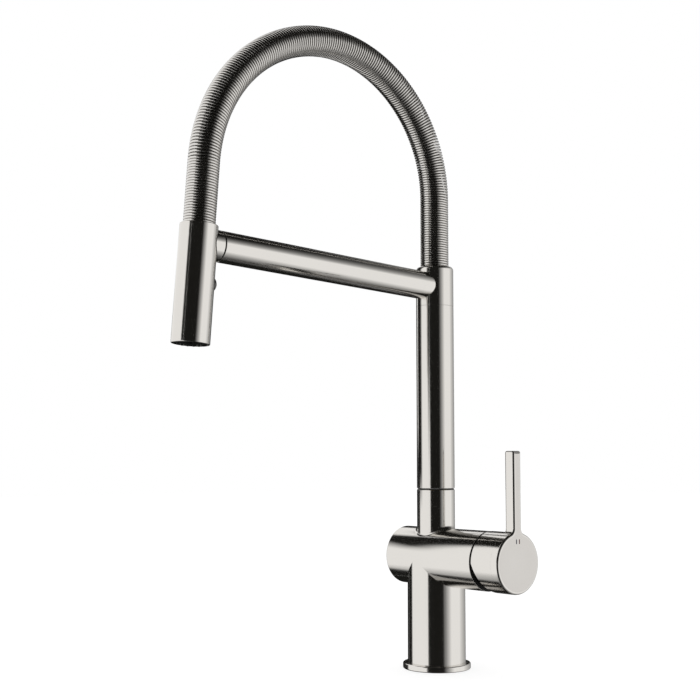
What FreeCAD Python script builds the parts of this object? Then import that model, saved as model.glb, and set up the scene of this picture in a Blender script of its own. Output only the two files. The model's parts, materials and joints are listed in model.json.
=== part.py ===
import FreeCAD, Part
import math
import os
import re

import Sketcher
from FreeCAD import Placement, Rotation, Vector

# Semi-pro kitchen mixer tap: a single-hole body with a side lever, a swivelling column, a docking arm
# and a spray head that hangs on a hose inside an arched coil spring.
# Millimetres, +Z up, origin on the column's axis at the deck. The arm points to -Y, the lever's barrel to +X.

doc = FreeCAD.newDocument("MixerTap")
sizes = doc.addObject("Spreadsheet::Sheet", "Sizes")

# Driving dimensions, each written once
driving = {
    # fits
    "fit_gap": 0.05,            # pieces that are pushed or screwed together
    "run_gap": 0.06,            # a shaft that turns or slides in its bore
    "free_gap": 0.35,           # pieces that pass each other
    "seam_gap": 0.25,           # fine lines that show between two tubes
    "over_cut": 1.0,            # how far a cutter runs out past a face
    # foot and body
    "flange_radius": 28.1,
    "flange_height": 4.8,
    "flange_round": 1.0,
    "foot_radius": 20.0,
    "gasket_inner": 22.5,
    "gasket_outer": 25.5,
    "gasket_depth": 1.5,
    "body_radius": 24.05,
    "barrel_radius": 24.0,
    "barrel_height": 91.4,
    "barrel_left": 36.2,
    "barrel_right": 62.5,
    "barrel_round": 0.8,
    "neck_radius": 15.9,
    "swivel_height": 147.3,
    # water ways and fixings under the body
    "inlet_radius": 4.5,
    "inlet_depth": 14.0,
    "inlet_spread": 9.0,
    "inlet_bore": 3.0,
    "stud_radius": 3.4,
    "stud_depth": 16.0,
    "stud_offset": 11.5,
    "outlet_bore": 6.0,
    "outlet_floor": 6.0,
    "port_radius": 2.4,
    "port_circle": 8.0,
    # cartridge, measured along the barrel from the column's axis
    "cartridge_bore": 17.5,
    "cartridge_floor": 33.0,
    "seal_thick": 1.0,
    "housing_base": 2.5,
    "housing_wall": 1.9,
    "housing_lip": 2.0,
    "fixed_disc_thick": 3.0,
    "moving_disc_thick": 2.9,
    "moving_disc_radius": 11.3,
    "carrier_thick": 2.9,
    "carrier_radius": 10.5,
    "carrier_hole": 3.7,
    "guide_flange": 14.8,
    "guide_neck": 11.6,
    "guide_rim": 1.8,
    "nut_seat": 50.0,
    "nut_thick": 7.0,
    "nut_radius": 20.5,
    "housing_neck_wall": 1.3,
    "pivot_place": 54.0,
    "pivot_pin_radius": 1.5,
    "pivot_pin_inset": 0.5,
    "spindle_radius": 4.0,
    "spindle_foot_radius": 2.5,
    "spindle_foot_length": 4.0,
    "spindle_shoulder": 1.0,
    "spindle_end": 85.0,
    "slot_height": 14.4,
    "dome_radius": 21.7,
    "dome_wall": 1.6,
    "dome_sleeve": 20.0,
    "dome_mouth": 11.6,
    # handle
    "handle_gap": 1.2,
    "handle_face": 92.0,
    "handle_wall": 1.7,
    "handle_face_wall": 3.2,
    "handle_boss": 9.0,
    "handle_boss_start": 77.5,
    "handle_round": 1.5,
    "wedge_angle": 20.0,
    "lever_width": 9.1,
    "lever_depth": 9.1,
    "lever_top": 88.0,
    "lever_round": 1.4,
    "lever_blend": 4.5,
    "clamp_screw_radius": 2.0,
    "clamp_screw_place": 81.5,
    "plug_radius": 2.6,
    "plug_length": 1.5,
    "mark_width": 0.9,
    "mark_height": 3.8,
    "mark_spacing": 2.9,
    "mark_lift": 17.2,
    "mark_depth": 0.4,
    # swivel and column
    "glide_thick": 0.8,
    "column_radius": 15.4,
    "column_wall": 1.5,
    "spigot_radius": 12.3,
    "spigot_root": 11.0,
    "spigot_root_length": 19.0,
    "spigot_length": 46.0,
    "spigot_bore": 7.0,
    "bush_length": 38.0,
    "seal_low": 12.0,
    "seal_high": 28.0,
    "seal_section": 0.8,
    "clip_section": 1.3,
    "clip_reach": 0.9,
    "clip_depth": 0.9,
    "clip_angle": 320.0,
    # collar, arm and dock
    "arm_height": 318.55,
    "collar_below": 16.55,
    "collar_above": 15.95,
    "collar_round": 3.0,
    "collar_sleeve": 12.0,
    "collar_bore": 10.8,
    "collar_web_drop": 13.55,
    "collar_web_thick": 7.5,
    "collar_hollow": 12.75,
    "collar_lip": 1.6,
    "arm_tilt": 2.86,
    "arm_reach": 240.0,
    "arm_radius": 11.9,
    "arm_wall": 1.75,
    "arm_stub": 34.0,
    "arm_screw_place": 27.0,
    "arm_screw_radius": 2.0,
    "arm_screw_length": 5.0,
    "arm_screw_sink": 0.4,
    "dock_length": 17.6,
    "dock_plug": 14.0,
    "magnet_radius": 5.0,
    "magnet_length": 7.0,
    "magnet_cover": 0.8,
    # spring and hose
    "spring_radius": 11.72,
    "wire_radius": 2.0,
    "spring_turns": 96,
    "spring_seat": 6.0,
    "spring_tuck": 5.5,
    "spring_leg": 58.87,
    "arch_share": 0.4715,       # radius of the arch's first bend as a share of the arm's reach
    "arch_turn": 100.0,         # how far the first bend turns
    "hose_radius": 7.4,
    "hose_bore": 5.0,
    "barb_bore": 3.4,
    "nipple_flange": 9.4,
    "nipple_flange_thick": 3.5,
    "ferrule_wall": 0.9,
    "thread_radius": 7.5,
    # spray head, measured along its own axis from where the arm's axis crosses it
    "head_radius": 14.25,
    "head_wall": 1.2,
    "head_tilt": 4.2,
    "head_above": 13.3,
    "head_below": 74.8,
    "head_round": 0.7,
    "head_lip": 2.0,
    "upper_ferrule_length": 10.5,
    "upper_spigot": 5.5,
    "upper_spigot_length": 6.2,
    "swivel_nut_thick": 3.0,
    "valve_radius": 4.6,
    "valve_length": 6.4,
    "valve_seat": 2.0,
    "core_bore": 2.5,
    "keeper_thick": 0.8,
    "keeper_low": 3.6,
    "keeper_high": 3.0,
    "keeper_angle": 56.0,
    "head_seal_place": 58.0,
    "face_thick": 7.0,
    "face_recess": 0.8,
    "nozzle_count": 16,
    "nozzle_circle": 11.2,
    "nozzle_radius": 0.85,
    "nozzle_tip": 0.64,
    "nozzle_reach": 1.2,
    "aerator_radius": 7.5,
    "aerator_recess": 1.2,
    "aerator_rim": 1.2,
    "aerator_dish": 1.5,
    # spray button
    "button_drop": 29.1,
    "button_radius": 5.2,
    "button_proud": 3.3,
    "button_crown": 2.3,
    "button_skirt": 0.9,
    "button_travel": 2.0,
    "spool_radius": 3.7,
    "spool_waist": 2.2,
    "spool_depth": 4.5,
    "spool_land": 3.5,
    "button_spring_wire": 0.25,
    "button_spring_turns": 4,
    "button_spring_length": 5.0,
}

# Sizes that follow from the driving ones
derived = {
    "column_bore": "column_radius - column_wall",
    "column_foot": "swivel_height + glide_thick + fit_gap",
    "collar_seam": "arm_height - collar_below",
    "collar_top": "arm_height + collar_above",
    "collar_web_low": "arm_height - collar_web_drop",
    "collar_web_high": "collar_web_low + collar_web_thick",
    "arm_bore": "arm_radius - arm_wall",
    "dock_seam": "arm_reach - dock_length",
    "head_bore": "head_radius - head_wall",
    "head_y": "-arm_reach * cos(arm_tilt * 1 deg)",
    "head_z": "arm_height + arm_reach * sin(arm_tilt * 1 deg)",
    "housing_start": "cartridge_floor + seal_thick",
    "disc_seat": "housing_start + housing_base",
    "disc_line": "disc_seat + fixed_disc_thick",
    "disc_top": "disc_line + run_gap + moving_disc_thick",
    "carrier_top": "disc_top + carrier_thick",
    "guide_start": "carrier_top + free_gap",
    "housing_radius": "cartridge_bore - fit_gap",
    "housing_bore": "housing_radius - housing_wall",
    "neck_bore": "guide_neck + free_gap",
    "housing_neck": "neck_bore + housing_neck_wall",
    "handle_back": "barrel_right + handle_gap",
    "handle_bore": "barrel_radius - handle_wall",
    "saddle_radius": "head_radius + free_gap",
    "spring_line": "spring_radius - wire_radius",
    "ferrule_radius": "hose_radius + fit_gap + ferrule_wall",
    "lower_nipple_top": "collar_web_high + nipple_flange_thick",
    "spring_start": "collar_top - spring_seat",
    "spring_bend_height": "collar_top + spring_leg",
    "spring_stop": "head_above - spring_tuck",
    "ferrule_high": "spring_stop - 2 * wire_radius - free_gap",
    "ferrule_low": "ferrule_high - upper_ferrule_length",
    "flange_low": "ferrule_low - free_gap - nipple_flange_thick",
    "core_top": "flange_low - free_gap",
    "spigot_low": "flange_low - upper_spigot_length",
    "valve_top": "spigot_low - free_gap",
    "valve_low": "valve_top - valve_length",
    "face_top": "face_thick - head_below",
    "button_face": "head_radius + button_proud",
    "button_back": "head_radius - button_skirt",
    "spool_end": "button_back - button_travel - free_gap",
}

functions_in_sheet = {"cos", "sin", "tan", "sqrt", "deg"}


def fill_sheet():
    rows = [(name, str(number)) for name, number in driving.items()]
    rows += [(name, "=" + formula) for name, formula in derived.items()]
    for row, (name, content) in enumerate(rows, start=1):
        sizes.set("A%d" % row, name)
        sizes.set("B%d" % row, content)
        sizes.setAlias("B%d" % row, name)
    doc.recompute()


def bound(formula):
    # the formula with every size's name pointed at the sheet
    def point(word):
        return word[0] if word[0] in functions_in_sheet else "Sizes." + word[0]
    return re.sub(r"[a-z][a-z_]*", point, formula)


def value(formula):
    return float(sizes.evalExpression(bound(formula)))


# The axes that the pieces are turned about: where each starts and which way it points
def tilted(tilt_name):
    return "cos(%s * 1 deg)" % tilt_name, "sin(%s * 1 deg)" % tilt_name


arm_cos, arm_sin = tilted("arm_tilt")
head_cos, head_sin = tilted("head_tilt")
axes = {
    "column": {"start": ("0", "0", "0"), "way": ("0", "0", "1"), "about": Vector(0, 0, 1), "angle": "0"},
    "barrel": {"start": ("0", "0", "barrel_height"), "way": ("1", "0", "0"),
               "about": Vector(0, 1, 0), "angle": "90"},
    "arm": {"start": ("0", "0", "arm_height"), "way": ("0", "-" + arm_cos, arm_sin),
            "about": Vector(1, 0, 0), "angle": "90 - arm_tilt"},
    "head": {"start": ("0", "head_y", "head_z"), "way": ("0", head_sin, head_cos),
             "about": Vector(1, 0, 0), "angle": "-head_tilt"},
    "button": {"start": ("0", "head_y - button_drop * " + head_sin, "head_z - button_drop * " + head_cos),
               "way": ("0", head_cos, "-" + head_sin), "about": Vector(1, 0, 0), "angle": "-90 - head_tilt"},
    "pivot": {"start": ("pivot_place", "0", "barrel_height"), "way": ("0", "1", "0"),
              "about": Vector(1, 0, 0), "angle": "-90"},
    "clamp_screw": {"start": ("clamp_screw_place", "0", "barrel_height"), "way": ("0", "0", "-1"),
                    "about": Vector(1, 0, 0), "angle": "180"},
    "arm_screw": {"start": ("0", "-arm_screw_place * " + arm_cos, "arm_height + arm_screw_place * " + arm_sin),
                  "way": ("0", "-" + arm_sin, "-" + arm_cos), "about": Vector(1, 0, 0),
                  "angle": "180 - arm_tilt"},
}


def lay(piece, axis, along="0", aside=("0", "0", "0")):
    # stand a piece on an axis, moved along it and then sideways in the part's own frame
    line = axes[axis]
    piece.Placement = Placement(Vector(), Rotation(line["about"], 1))
    for letter, start, way, side in zip("xyz", line["start"], line["way"], aside):
        formula = "%s + (%s) * (%s) + %s" % (start, along, way, side)
        piece.setExpression("Placement.Base." + letter, bound(formula))
    piece.setExpression("Placement.Rotation.Angle", bound(line["angle"]))
    return piece


def origin_plane(body, role):
    return [feature for feature in body.Origin.OriginFeatures if feature.Role == role][0]


def new_sketch(body, plane, name):
    sketch = body.newObject("Sketcher::SketchObject", name)
    sketch.AttachmentSupport = [(origin_plane(body, plane), "")]
    sketch.MapMode = "FlatFace"
    return sketch


def bind(sketch, kind, geometry, formula):
    number = sketch.addConstraint(Sketcher.Constraint(kind, *geometry, value(formula)))
    sketch.setExpression("Constraints[%d]" % number, bound(formula))


def outline(sketch, corners):
    # A closed outline. A corner is (across, up), or (across, up, radius, side) where an arc leaves it:
    # side 1 bulges to the left of the way to the next corner and -1 to the right.
    points = [Vector(value(corner[0]), value(corner[1]), 0) for corner in corners]
    count = len(points)
    for index, corner in enumerate(corners):
        here, there = points[index], points[(index + 1) % count]
        if len(corner) == 2:
            sketch.addGeometry(Part.LineSegment(here, there))
            continue
        chord = there - here
        radius = value(corner[2])
        left = Vector(-chord.y, chord.x, 0).normalize() * corner[3]
        sagitta = radius - math.sqrt(max(radius ** 2 - chord.Length ** 2 / 4, 0))
        sketch.addGeometry(Part.Arc(here, (here + there) * 0.5 + left * sagitta, there))

    def end_at(index, point):
        return 1 if (sketch.getPoint(index, 1) - point).Length < (sketch.getPoint(index, 2) - point).Length else 2

    for index, corner in enumerate(corners):
        following = (index + 1) % count
        joined = points[following]
        sketch.addConstraint(Sketcher.Constraint("Coincident", index, end_at(index, joined),
                                                 following, end_at(following, joined)))
    for index, corner in enumerate(corners):
        end = end_at(index, points[index])
        if corner[0] == "0":
            sketch.addConstraint(Sketcher.Constraint("PointOnObject", index, end, -2))
        else:
            bind(sketch, "DistanceX", (-1, 1, index, end), corner[0])
        bind(sketch, "DistanceY", (-1, 1, index, end), corner[1])
        if len(corner) == 4:
            bind(sketch, "Radius", (index,), corner[2])


def turned(name, axis, section, sweep="360", plane="XZ_Plane"):
    # a piece turned about an axis from its half section: corners of (radius, place along the axis)
    body = doc.addObject("PartDesign::Body", name)
    sketch = new_sketch(body, plane, name + "_section")
    outline(sketch, section)
    turn = body.newObject("PartDesign::Revolution", name + "_turn")
    turn.Profile = sketch
    turn.ReferenceAxis = (sketch, ["V_Axis"])
    turn.setExpression("Angle", bound(sweep))
    turn.Midplane = sweep != "360"
    sketch.Visibility = False
    return lay(body, axis)


def ring(inner, outer, low, high):
    return [(inner, low), (outer, low), (outer, high), (inner, high)]


def round_rings(body, rings, radius):
    # round the circular edges at (radius, place along the axis) of a turned body
    doc.recompute()
    blank = body.Tip
    names = []
    for number, edge in enumerate(blank.Shape.Edges, start=1):
        if edge.Degenerated or not isinstance(edge.Curve, Part.Circle):
            continue
        for ring_radius, place in rings:
            same_size = abs(edge.Curve.Radius - value(ring_radius)) < 1e-4
            if same_size and abs(edge.Curve.Center.z - value(place)) < 1e-4:
                names.append("Edge%d" % number)
    rounding = body.newObject("PartDesign::Fillet", body.Name + "_round")
    rounding.Base = (blank, names)
    rounding.setExpression("Radius", bound(radius))
    return body


def rod(name, axis, radius, low, high, aside=("0", "0", "0")):
    piece = doc.addObject("Part::Cylinder", name)
    piece.setExpression("Radius", bound(radius))
    piece.setExpression("Height", bound("(%s) - (%s)" % (high, low)))
    return lay(piece, axis, low, aside)


def donut(name, axis, ring_radius, section, along):
    piece = doc.addObject("Part::Torus", name)
    piece.setExpression("Radius1", bound(ring_radius))
    piece.setExpression("Radius2", bound(section))
    return lay(piece, axis, along)


def joined(name, pieces):
    whole = doc.addObject("Part::MultiFuse", name)
    whole.Shapes = pieces
    return whole


def cut(name, base, tools):
    tool = tools[0] if len(tools) == 1 else joined(name + "_tools", tools)
    whole = doc.addObject("Part::Cut", name)
    whole.Base = base
    whole.Tool = tool
    return whole


nodes = {}


def node(name, piece):
    piece.Label = name
    nodes[name] = piece


# Foot and body

def foot():
    flange = turned("flange", "column", [
        ("foot_radius + fit_gap", "0"), ("gasket_inner", "0"), ("gasket_inner", "gasket_depth"),
        ("gasket_outer", "gasket_depth"), ("gasket_outer", "0"), ("flange_radius", "0"),
        ("flange_radius", "flange_height"), ("foot_radius + fit_gap", "flange_height")])
    round_rings(flange, [("flange_radius", "0"), ("flange_radius", "flange_height")], "flange_round")
    node("base_flange", flange)
    node("base_gasket", turned("gasket", "column", ring(
        "gasket_inner + fit_gap", "gasket_outer - fit_gap", "0", "gasket_depth - fit_gap")))


def ports(name, low, high):
    # two inlets and one outlet, evenly spaced on the cartridge's port circle
    across = "port_circle * %s" % "cos(30 * 1 deg)"
    places = {"outlet": ("0", "port_circle"), "left": ("-" + across, "-port_circle / 2"),
              "right": (across, "-port_circle / 2")}
    return [rod("%s_%s" % (name, label), "barrel", "port_radius", low, high, ("0", y, z))
            for label, (y, z) in places.items()]


def mixer_body():
    stem = turned("body_stem", "column", [
        ("0", "0"), ("foot_radius", "0"), ("foot_radius", "flange_height"), ("body_radius", "flange_height"),
        ("body_radius", "barrel_height"), ("neck_radius", "barrel_height"), ("neck_radius", "swivel_height"),
        ("0", "swivel_height")])
    barrel = turned("body_barrel", "barrel", [
        ("0", "-barrel_left"), ("barrel_radius", "-barrel_left"), ("barrel_radius", "barrel_right"),
        ("0", "barrel_right")])
    round_rings(barrel, [("barrel_radius", "-barrel_left")], "barrel_round")
    hollow = turned("cartridge_hollow", "barrel", [
        ("0", "cartridge_floor"), ("cartridge_bore", "cartridge_floor"), ("cartridge_bore", "nut_seat"),
        ("nut_radius", "nut_seat"), ("nut_radius", "barrel_right + over_cut"), ("0", "barrel_right + over_cut")])
    outlet = turned("outlet_way", "column", [
        ("0", "barrel_height + outlet_floor"), ("outlet_bore", "barrel_height + outlet_floor"),
        ("outlet_bore", "swivel_height - spigot_root_length"),
        ("spigot_root", "swivel_height - spigot_root_length"), ("spigot_root", "swivel_height + over_cut"),
        ("0", "swivel_height + over_cut")])
    drillings = [rod("stud_hole", "column", "stud_radius", "-over_cut", "stud_depth", ("-stud_offset", "0", "0"))]
    for label, side in (("cold", "-inlet_spread"), ("hot", "inlet_spread")):
        drillings.append(rod(label + "_thread", "column", "inlet_radius", "-over_cut", "inlet_depth",
                             ("0", side, "0")))
        drillings.append(rod(label + "_way", "column", "inlet_bore", "0", "barrel_height - port_circle / 2",
                             ("0", side, "0")))
    drillings += ports("body_port", "0", "cartridge_floor + over_cut")
    node("mixer_body", cut("mixer_body", joined("body_casting", [stem, barrel]), [hollow, outlet] + drillings))


# Cartridge

def cartridge():
    seal = rod("seal_blank", "barrel", "housing_bore", "cartridge_floor", "housing_start")
    node("cartridge_seal", cut("cartridge_seal", seal, ports(
        "seal_port", "cartridge_floor - over_cut", "housing_start + over_cut")))
    housing = turned("housing_blank", "barrel", [
        ("0", "housing_start"), ("housing_radius", "housing_start"), ("housing_radius", "nut_seat"),
        ("housing_neck", "nut_seat"), ("housing_neck", "nut_seat + nut_thick"),
        ("neck_bore", "nut_seat + nut_thick"), ("neck_bore", "nut_seat - housing_lip"),
        ("housing_bore", "nut_seat - housing_lip"), ("housing_bore", "disc_seat"), ("0", "disc_seat")])
    node("cartridge_housing", cut("cartridge_housing", housing, ports(
        "housing_port", "housing_start - over_cut", "disc_seat + over_cut")))
    fixed = rod("fixed_blank", "barrel", "housing_bore - fit_gap", "disc_seat", "disc_line")
    node("fixed_disc", cut("fixed_disc", fixed, ports(
        "disc_port", "disc_seat - over_cut", "disc_line + over_cut")))
    node("moving_disc", rod("moving_disc", "barrel", "moving_disc_radius", "disc_line + run_gap", "disc_top"))
    node("disc_carrier", turned("disc_carrier", "barrel", ring(
        "carrier_hole", "carrier_radius", "disc_top", "carrier_top")))
    node("cartridge_nut", turned("cartridge_nut", "barrel", ring(
        "housing_neck + fit_gap", "nut_radius - fit_gap", "nut_seat", "nut_seat + nut_thick")))

    guide = turned("guide_blank", "barrel", [
        ("0", "guide_start"), ("guide_flange", "guide_start"), ("guide_flange", "guide_start + guide_rim"),
        ("guide_neck", "guide_start + guide_rim"), ("guide_neck", "nut_seat + nut_thick + free_gap"),
        ("0", "nut_seat + nut_thick + free_gap")])
    slot = doc.addObject("Part::Box", "guide_slot")
    slot.setExpression("Length", bound("nut_thick + nut_seat"))
    slot.setExpression("Width", bound("2 * (spindle_radius + free_gap)"))
    slot.setExpression("Height", bound("slot_height"))
    slot.setExpression("Placement.Base.x", bound("cartridge_floor"))
    slot.setExpression("Placement.Base.y", bound("-spindle_radius - free_gap"))
    slot.setExpression("Placement.Base.z", bound("barrel_height - slot_height / 2"))
    pin_hole = rod("guide_pin_hole", "pivot", "pivot_pin_radius + fit_gap", "-guide_neck - over_cut",
                   "guide_neck + over_cut")
    node("lever_guide", cut("lever_guide", guide, [slot, pin_hole]))
    node("pivot_pin", rod("pivot_pin", "pivot", "pivot_pin_radius", "pivot_pin_inset - guide_neck",
                          "guide_neck - pivot_pin_inset"))

    dome_start = "pivot_place + sqrt(dome_radius * dome_radius - dome_sleeve * dome_sleeve)"
    dome_end = "pivot_place + sqrt(dome_radius * dome_radius - dome_mouth * dome_mouth)"
    inner = "(dome_radius - dome_wall)"
    inner_sleeve = "(dome_sleeve - dome_wall)"
    inner_start = "pivot_place + sqrt(%s * %s - %s * %s)" % (inner, inner, inner_sleeve, inner_sleeve)
    inner_end = "pivot_place + sqrt(%s * %s - dome_mouth * dome_mouth)" % (inner, inner)
    node("dome_cover", turned("dome_cover", "barrel", [
        (inner_sleeve, "nut_seat + nut_thick"), ("dome_sleeve", "nut_seat + nut_thick"),
        ("dome_sleeve", dome_start, "dome_radius", -1), ("dome_mouth", dome_end),
        ("dome_mouth", inner_end, inner, 1), (inner_sleeve, inner_start)]))


# Handle

def spindle():
    blank = turned("spindle_blank", "barrel", [
        ("0", "disc_top + 2 * free_gap"), ("spindle_foot_radius", "disc_top + 2 * free_gap"),
        ("spindle_foot_radius", "disc_top + spindle_foot_length"),
        ("spindle_radius", "disc_top + spindle_foot_length + spindle_shoulder"), ("spindle_radius", "spindle_end"),
        ("0", "spindle_end")])
    hole = rod("spindle_pin_hole", "pivot", "pivot_pin_radius + run_gap", "-spindle_radius - over_cut",
               "spindle_radius + over_cut")
    node("spindle", cut("spindle", blank, [hole]))


def handle_mark(name, side):
    mark = doc.addObject("Part::Box", name)
    mark.setExpression("Length", bound("mark_depth"))
    mark.setExpression("Width", bound("mark_width"))
    mark.setExpression("Height", bound("mark_height"))
    mark.setExpression("Placement.Base.x", bound("handle_face - mark_depth"))
    mark.setExpression("Placement.Base.y", bound("%s * mark_spacing / 2 - mark_width / 2" % side))
    mark.setExpression("Placement.Base.z", bound("barrel_height + mark_lift - mark_height / 2"))
    return mark


def lever_bar():
    # The lever's front outline, which runs into the round face through two small hollow curves,
    # is drawn on the face's own plane and drawn back to the lever's depth.
    half = "lever_width / 2"
    foot_across = "(%s + lever_blend)" % half
    reach = "(barrel_radius + lever_blend)"
    foot_up = "sqrt(%s * %s - %s * %s)" % (reach, reach, foot_across, foot_across)
    touch_across = "%s * barrel_radius / %s" % (foot_across, reach)
    touch_up = "%s * barrel_radius / %s" % (foot_up, reach)
    body = doc.addObject("PartDesign::Body", "lever_bar")
    sketch = new_sketch(body, "YZ_Plane", "lever_front")
    outline(sketch, [
        ("-" + touch_across, touch_up, "barrel_radius", 1), (touch_across, touch_up, "lever_blend", 1),
        (half, foot_up), (half, "lever_top - lever_round", "lever_round", -1),
        (half + " - lever_round", "lever_top"), ("lever_round - " + half, "lever_top", "lever_round", -1),
        ("-" + half, "lever_top - lever_round"), ("-" + half, foot_up, "lever_blend", 1)])
    pad = body.newObject("PartDesign::Pad", "lever_pad")
    pad.Profile = sketch
    pad.setExpression("Length", bound("lever_depth"))
    body.setExpression("Placement.Base.x", bound("handle_face - lever_depth"))
    body.setExpression("Placement.Base.z", bound("barrel_height"))
    return body


def handle_wedge():
    # the lower back of the cap is cut away so that the lever can tip outwards
    body = doc.addObject("PartDesign::Body", "handle_wedge")
    sketch = new_sketch(body, "XZ_Plane", "wedge_side")
    depth = "(barrel_radius + over_cut)"
    outline(sketch, [("handle_back - over_cut", "0"), ("handle_back", "0"),
                     ("handle_back + %s * tan(wedge_angle * 1 deg)" % depth, "-" + depth),
                     ("handle_back - over_cut", "-" + depth)])
    pad = body.newObject("PartDesign::Pad", "wedge_pad")
    pad.Profile = sketch
    pad.Midplane = True
    pad.setExpression("Length", bound("2 * " + depth))
    body.setExpression("Placement.Base.z", bound("barrel_height"))
    return body


def handle():
    cap = turned("handle_cap", "barrel", [
        ("0", "spindle_end + fit_gap"), ("spindle_radius + fit_gap", "spindle_end + fit_gap"),
        ("spindle_radius + fit_gap", "handle_boss_start"), ("handle_boss", "handle_boss_start"),
        ("handle_boss", "handle_face - handle_face_wall"), ("handle_bore", "handle_face - handle_face_wall"),
        ("handle_bore", "handle_back"), ("barrel_radius", "handle_back"), ("barrel_radius", "handle_face"),
        ("0", "handle_face")])
    screw_hole = rod("clamp_screw_hole", "clamp_screw", "clamp_screw_radius + fit_gap", "0",
                     "handle_boss + over_cut")
    plug_hole = rod("plug_hole", "clamp_screw", "plug_radius + fit_gap", "handle_boss + over_cut",
                    "barrel_radius + over_cut")
    marks = [handle_mark("cold_pocket", "-1"), handle_mark("hot_pocket", "1")]
    casting = joined("handle_casting", [cap, lever_bar()])
    casting.Refine = True
    doc.recompute()
    front = value("handle_face")
    rounding = doc.addObject("Part::Fillet", "handle_front_round")
    rounding.Base = casting
    rounding.Edges = [(number, value("handle_round"), value("handle_round"))
                      for number, edge in enumerate(casting.Shape.Edges, start=1)
                      if all(abs(corner.X - front) < 1e-4 for corner in edge.Vertexes)]
    node("handle", cut("handle", rounding, [handle_wedge(), screw_hole, plug_hole] + marks))
    node("cold_mark", handle_mark("cold_mark", "-1"))
    node("hot_mark", handle_mark("hot_mark", "1"))
    node("handle_screw", rod("handle_screw", "clamp_screw", "clamp_screw_radius",
                             "spindle_radius + fit_gap", "handle_boss - fit_gap"))
    node("handle_plug", rod("handle_plug", "clamp_screw", "plug_radius",
                            "handle_bore + fit_gap", "handle_bore + plug_length"))


# Swivel

def swivel():
    top = "(swivel_height + spigot_length)"
    clip_low = "(column_foot + bush_length + free_gap)"
    seal_places = ["swivel_height + seal_low", "swivel_height + seal_high"]
    groove = "spigot_radius - 2 * seal_section"
    section = [("spigot_bore", "swivel_height - spigot_root_length"),
               ("spigot_root - fit_gap", "swivel_height - spigot_root_length"),
               ("spigot_root - fit_gap", "swivel_height"), ("spigot_radius", "swivel_height")]
    for place in seal_places:
        low = "%s - seal_section - fit_gap" % place
        high = "%s + seal_section + fit_gap" % place
        section += [("spigot_radius", low), (groove, low), (groove, high), ("spigot_radius", high)]
    clip_inner = "spigot_radius - clip_depth"
    clip_high = "%s + clip_section" % clip_low
    section += [("spigot_radius", clip_low), (clip_inner, clip_low), (clip_inner, clip_high),
                ("spigot_radius", clip_high), ("spigot_radius", top), ("spigot_bore", top)]
    node("swivel_spigot", turned("swivel_spigot", "column", section))
    node("glide_ring", turned("glide_ring", "column", ring(
        "spigot_radius + run_gap", "column_radius - fit_gap", "swivel_height", "swivel_height + glide_thick")))
    rings = [donut("swivel_seal_%d" % number, "column", groove + " + seal_section", "seal_section", place)
             for number, place in enumerate(seal_places)]
    node("swivel_o_rings", joined("swivel_o_rings", rings))
    node("swivel_circlip", turned("swivel_circlip", "column", ring(
        clip_inner + " + fit_gap", "spigot_radius + clip_reach", clip_low + " + fit_gap",
        clip_high + " - fit_gap"), "clip_angle"))
    node("swivel_bush", turned("swivel_bush", "column", ring(
        "spigot_radius + run_gap", "column_bore - fit_gap", "column_foot", "column_foot + bush_length")))


# Column, arm and dock

def column_and_arm():
    node("column_tube", turned("column_tube", "column", ring(
        "column_bore", "column_radius", "column_foot", "collar_seam - seam_gap")))
    sleeve_low = "collar_seam - collar_sleeve"
    collar = turned("collar_blank", "column", [
        ("0", sleeve_low), ("column_bore - fit_gap", sleeve_low),
        ("column_bore - fit_gap", "collar_seam"), ("column_radius", "collar_seam"),
        ("column_radius", "collar_top"), ("0", "collar_top")])
    round_rings(collar, [("column_radius", "collar_top")], "collar_round")
    stub = rod("collar_stub", "arm", "arm_bore - fit_gap", "0", "arm_stub")
    hollow = turned("collar_hollow", "column", [
        ("0", sleeve_low + " - over_cut"), ("collar_bore", sleeve_low + " - over_cut"),
        ("collar_bore", "collar_web_low"), ("thread_radius", "collar_web_low"),
        ("thread_radius", "collar_web_high"), ("collar_hollow", "collar_web_high"),
        ("collar_hollow", "collar_top - collar_lip"), ("spring_radius + free_gap", "collar_top - collar_lip"),
        ("spring_radius + free_gap", "collar_top + over_cut"), ("0", "collar_top + over_cut")])
    screw_seat = rod("collar_screw_seat", "arm_screw", "arm_screw_radius + fit_gap",
                     "arm_radius - arm_screw_length", "arm_radius + over_cut")
    whole = joined("collar_casting", [collar, stub])
    node("column_collar", cut("column_collar", whole, [hollow, screw_seat]))

    tube = turned("arm_blank", "arm", ring("arm_bore", "arm_radius", "0", "dock_seam"))
    cope = rod("arm_cope", "column", "column_radius + fit_gap", "collar_seam", "collar_top + arm_radius")
    screw_hole = rod("arm_screw_hole", "arm_screw", "arm_screw_radius + fit_gap", "0", "arm_radius + over_cut")
    node("arm_tube", cut("arm_tube", tube, [cope, screw_hole]))
    node("arm_screw", rod("arm_screw", "arm_screw", "arm_screw_radius",
                          "arm_radius - arm_screw_length", "arm_radius - arm_screw_sink"))

    cradle = turned("cradle_blank", "arm", [
        ("0", "dock_seam - dock_plug"), ("arm_bore - fit_gap", "dock_seam - dock_plug"),
        ("arm_bore - fit_gap", "dock_seam + seam_gap"), ("arm_radius", "dock_seam + seam_gap"),
        ("arm_radius", "arm_reach"), ("0", "arm_reach")])
    saddle = rod("dock_saddle", "head", "saddle_radius", "-2 * head_radius", "2 * head_radius")
    magnet_stop = "(arm_reach - saddle_radius - magnet_cover)"
    pocket = rod("magnet_pocket", "arm", "magnet_radius + fit_gap", magnet_stop + " - magnet_length - fit_gap",
                 "arm_reach")
    node("dock_cradle", cut("dock_cradle", cradle, [saddle, pocket]))
    node("dock_magnet", rod("dock_magnet", "arm", "magnet_radius", magnet_stop + " - magnet_length", magnet_stop))


# Spring and hose

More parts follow.
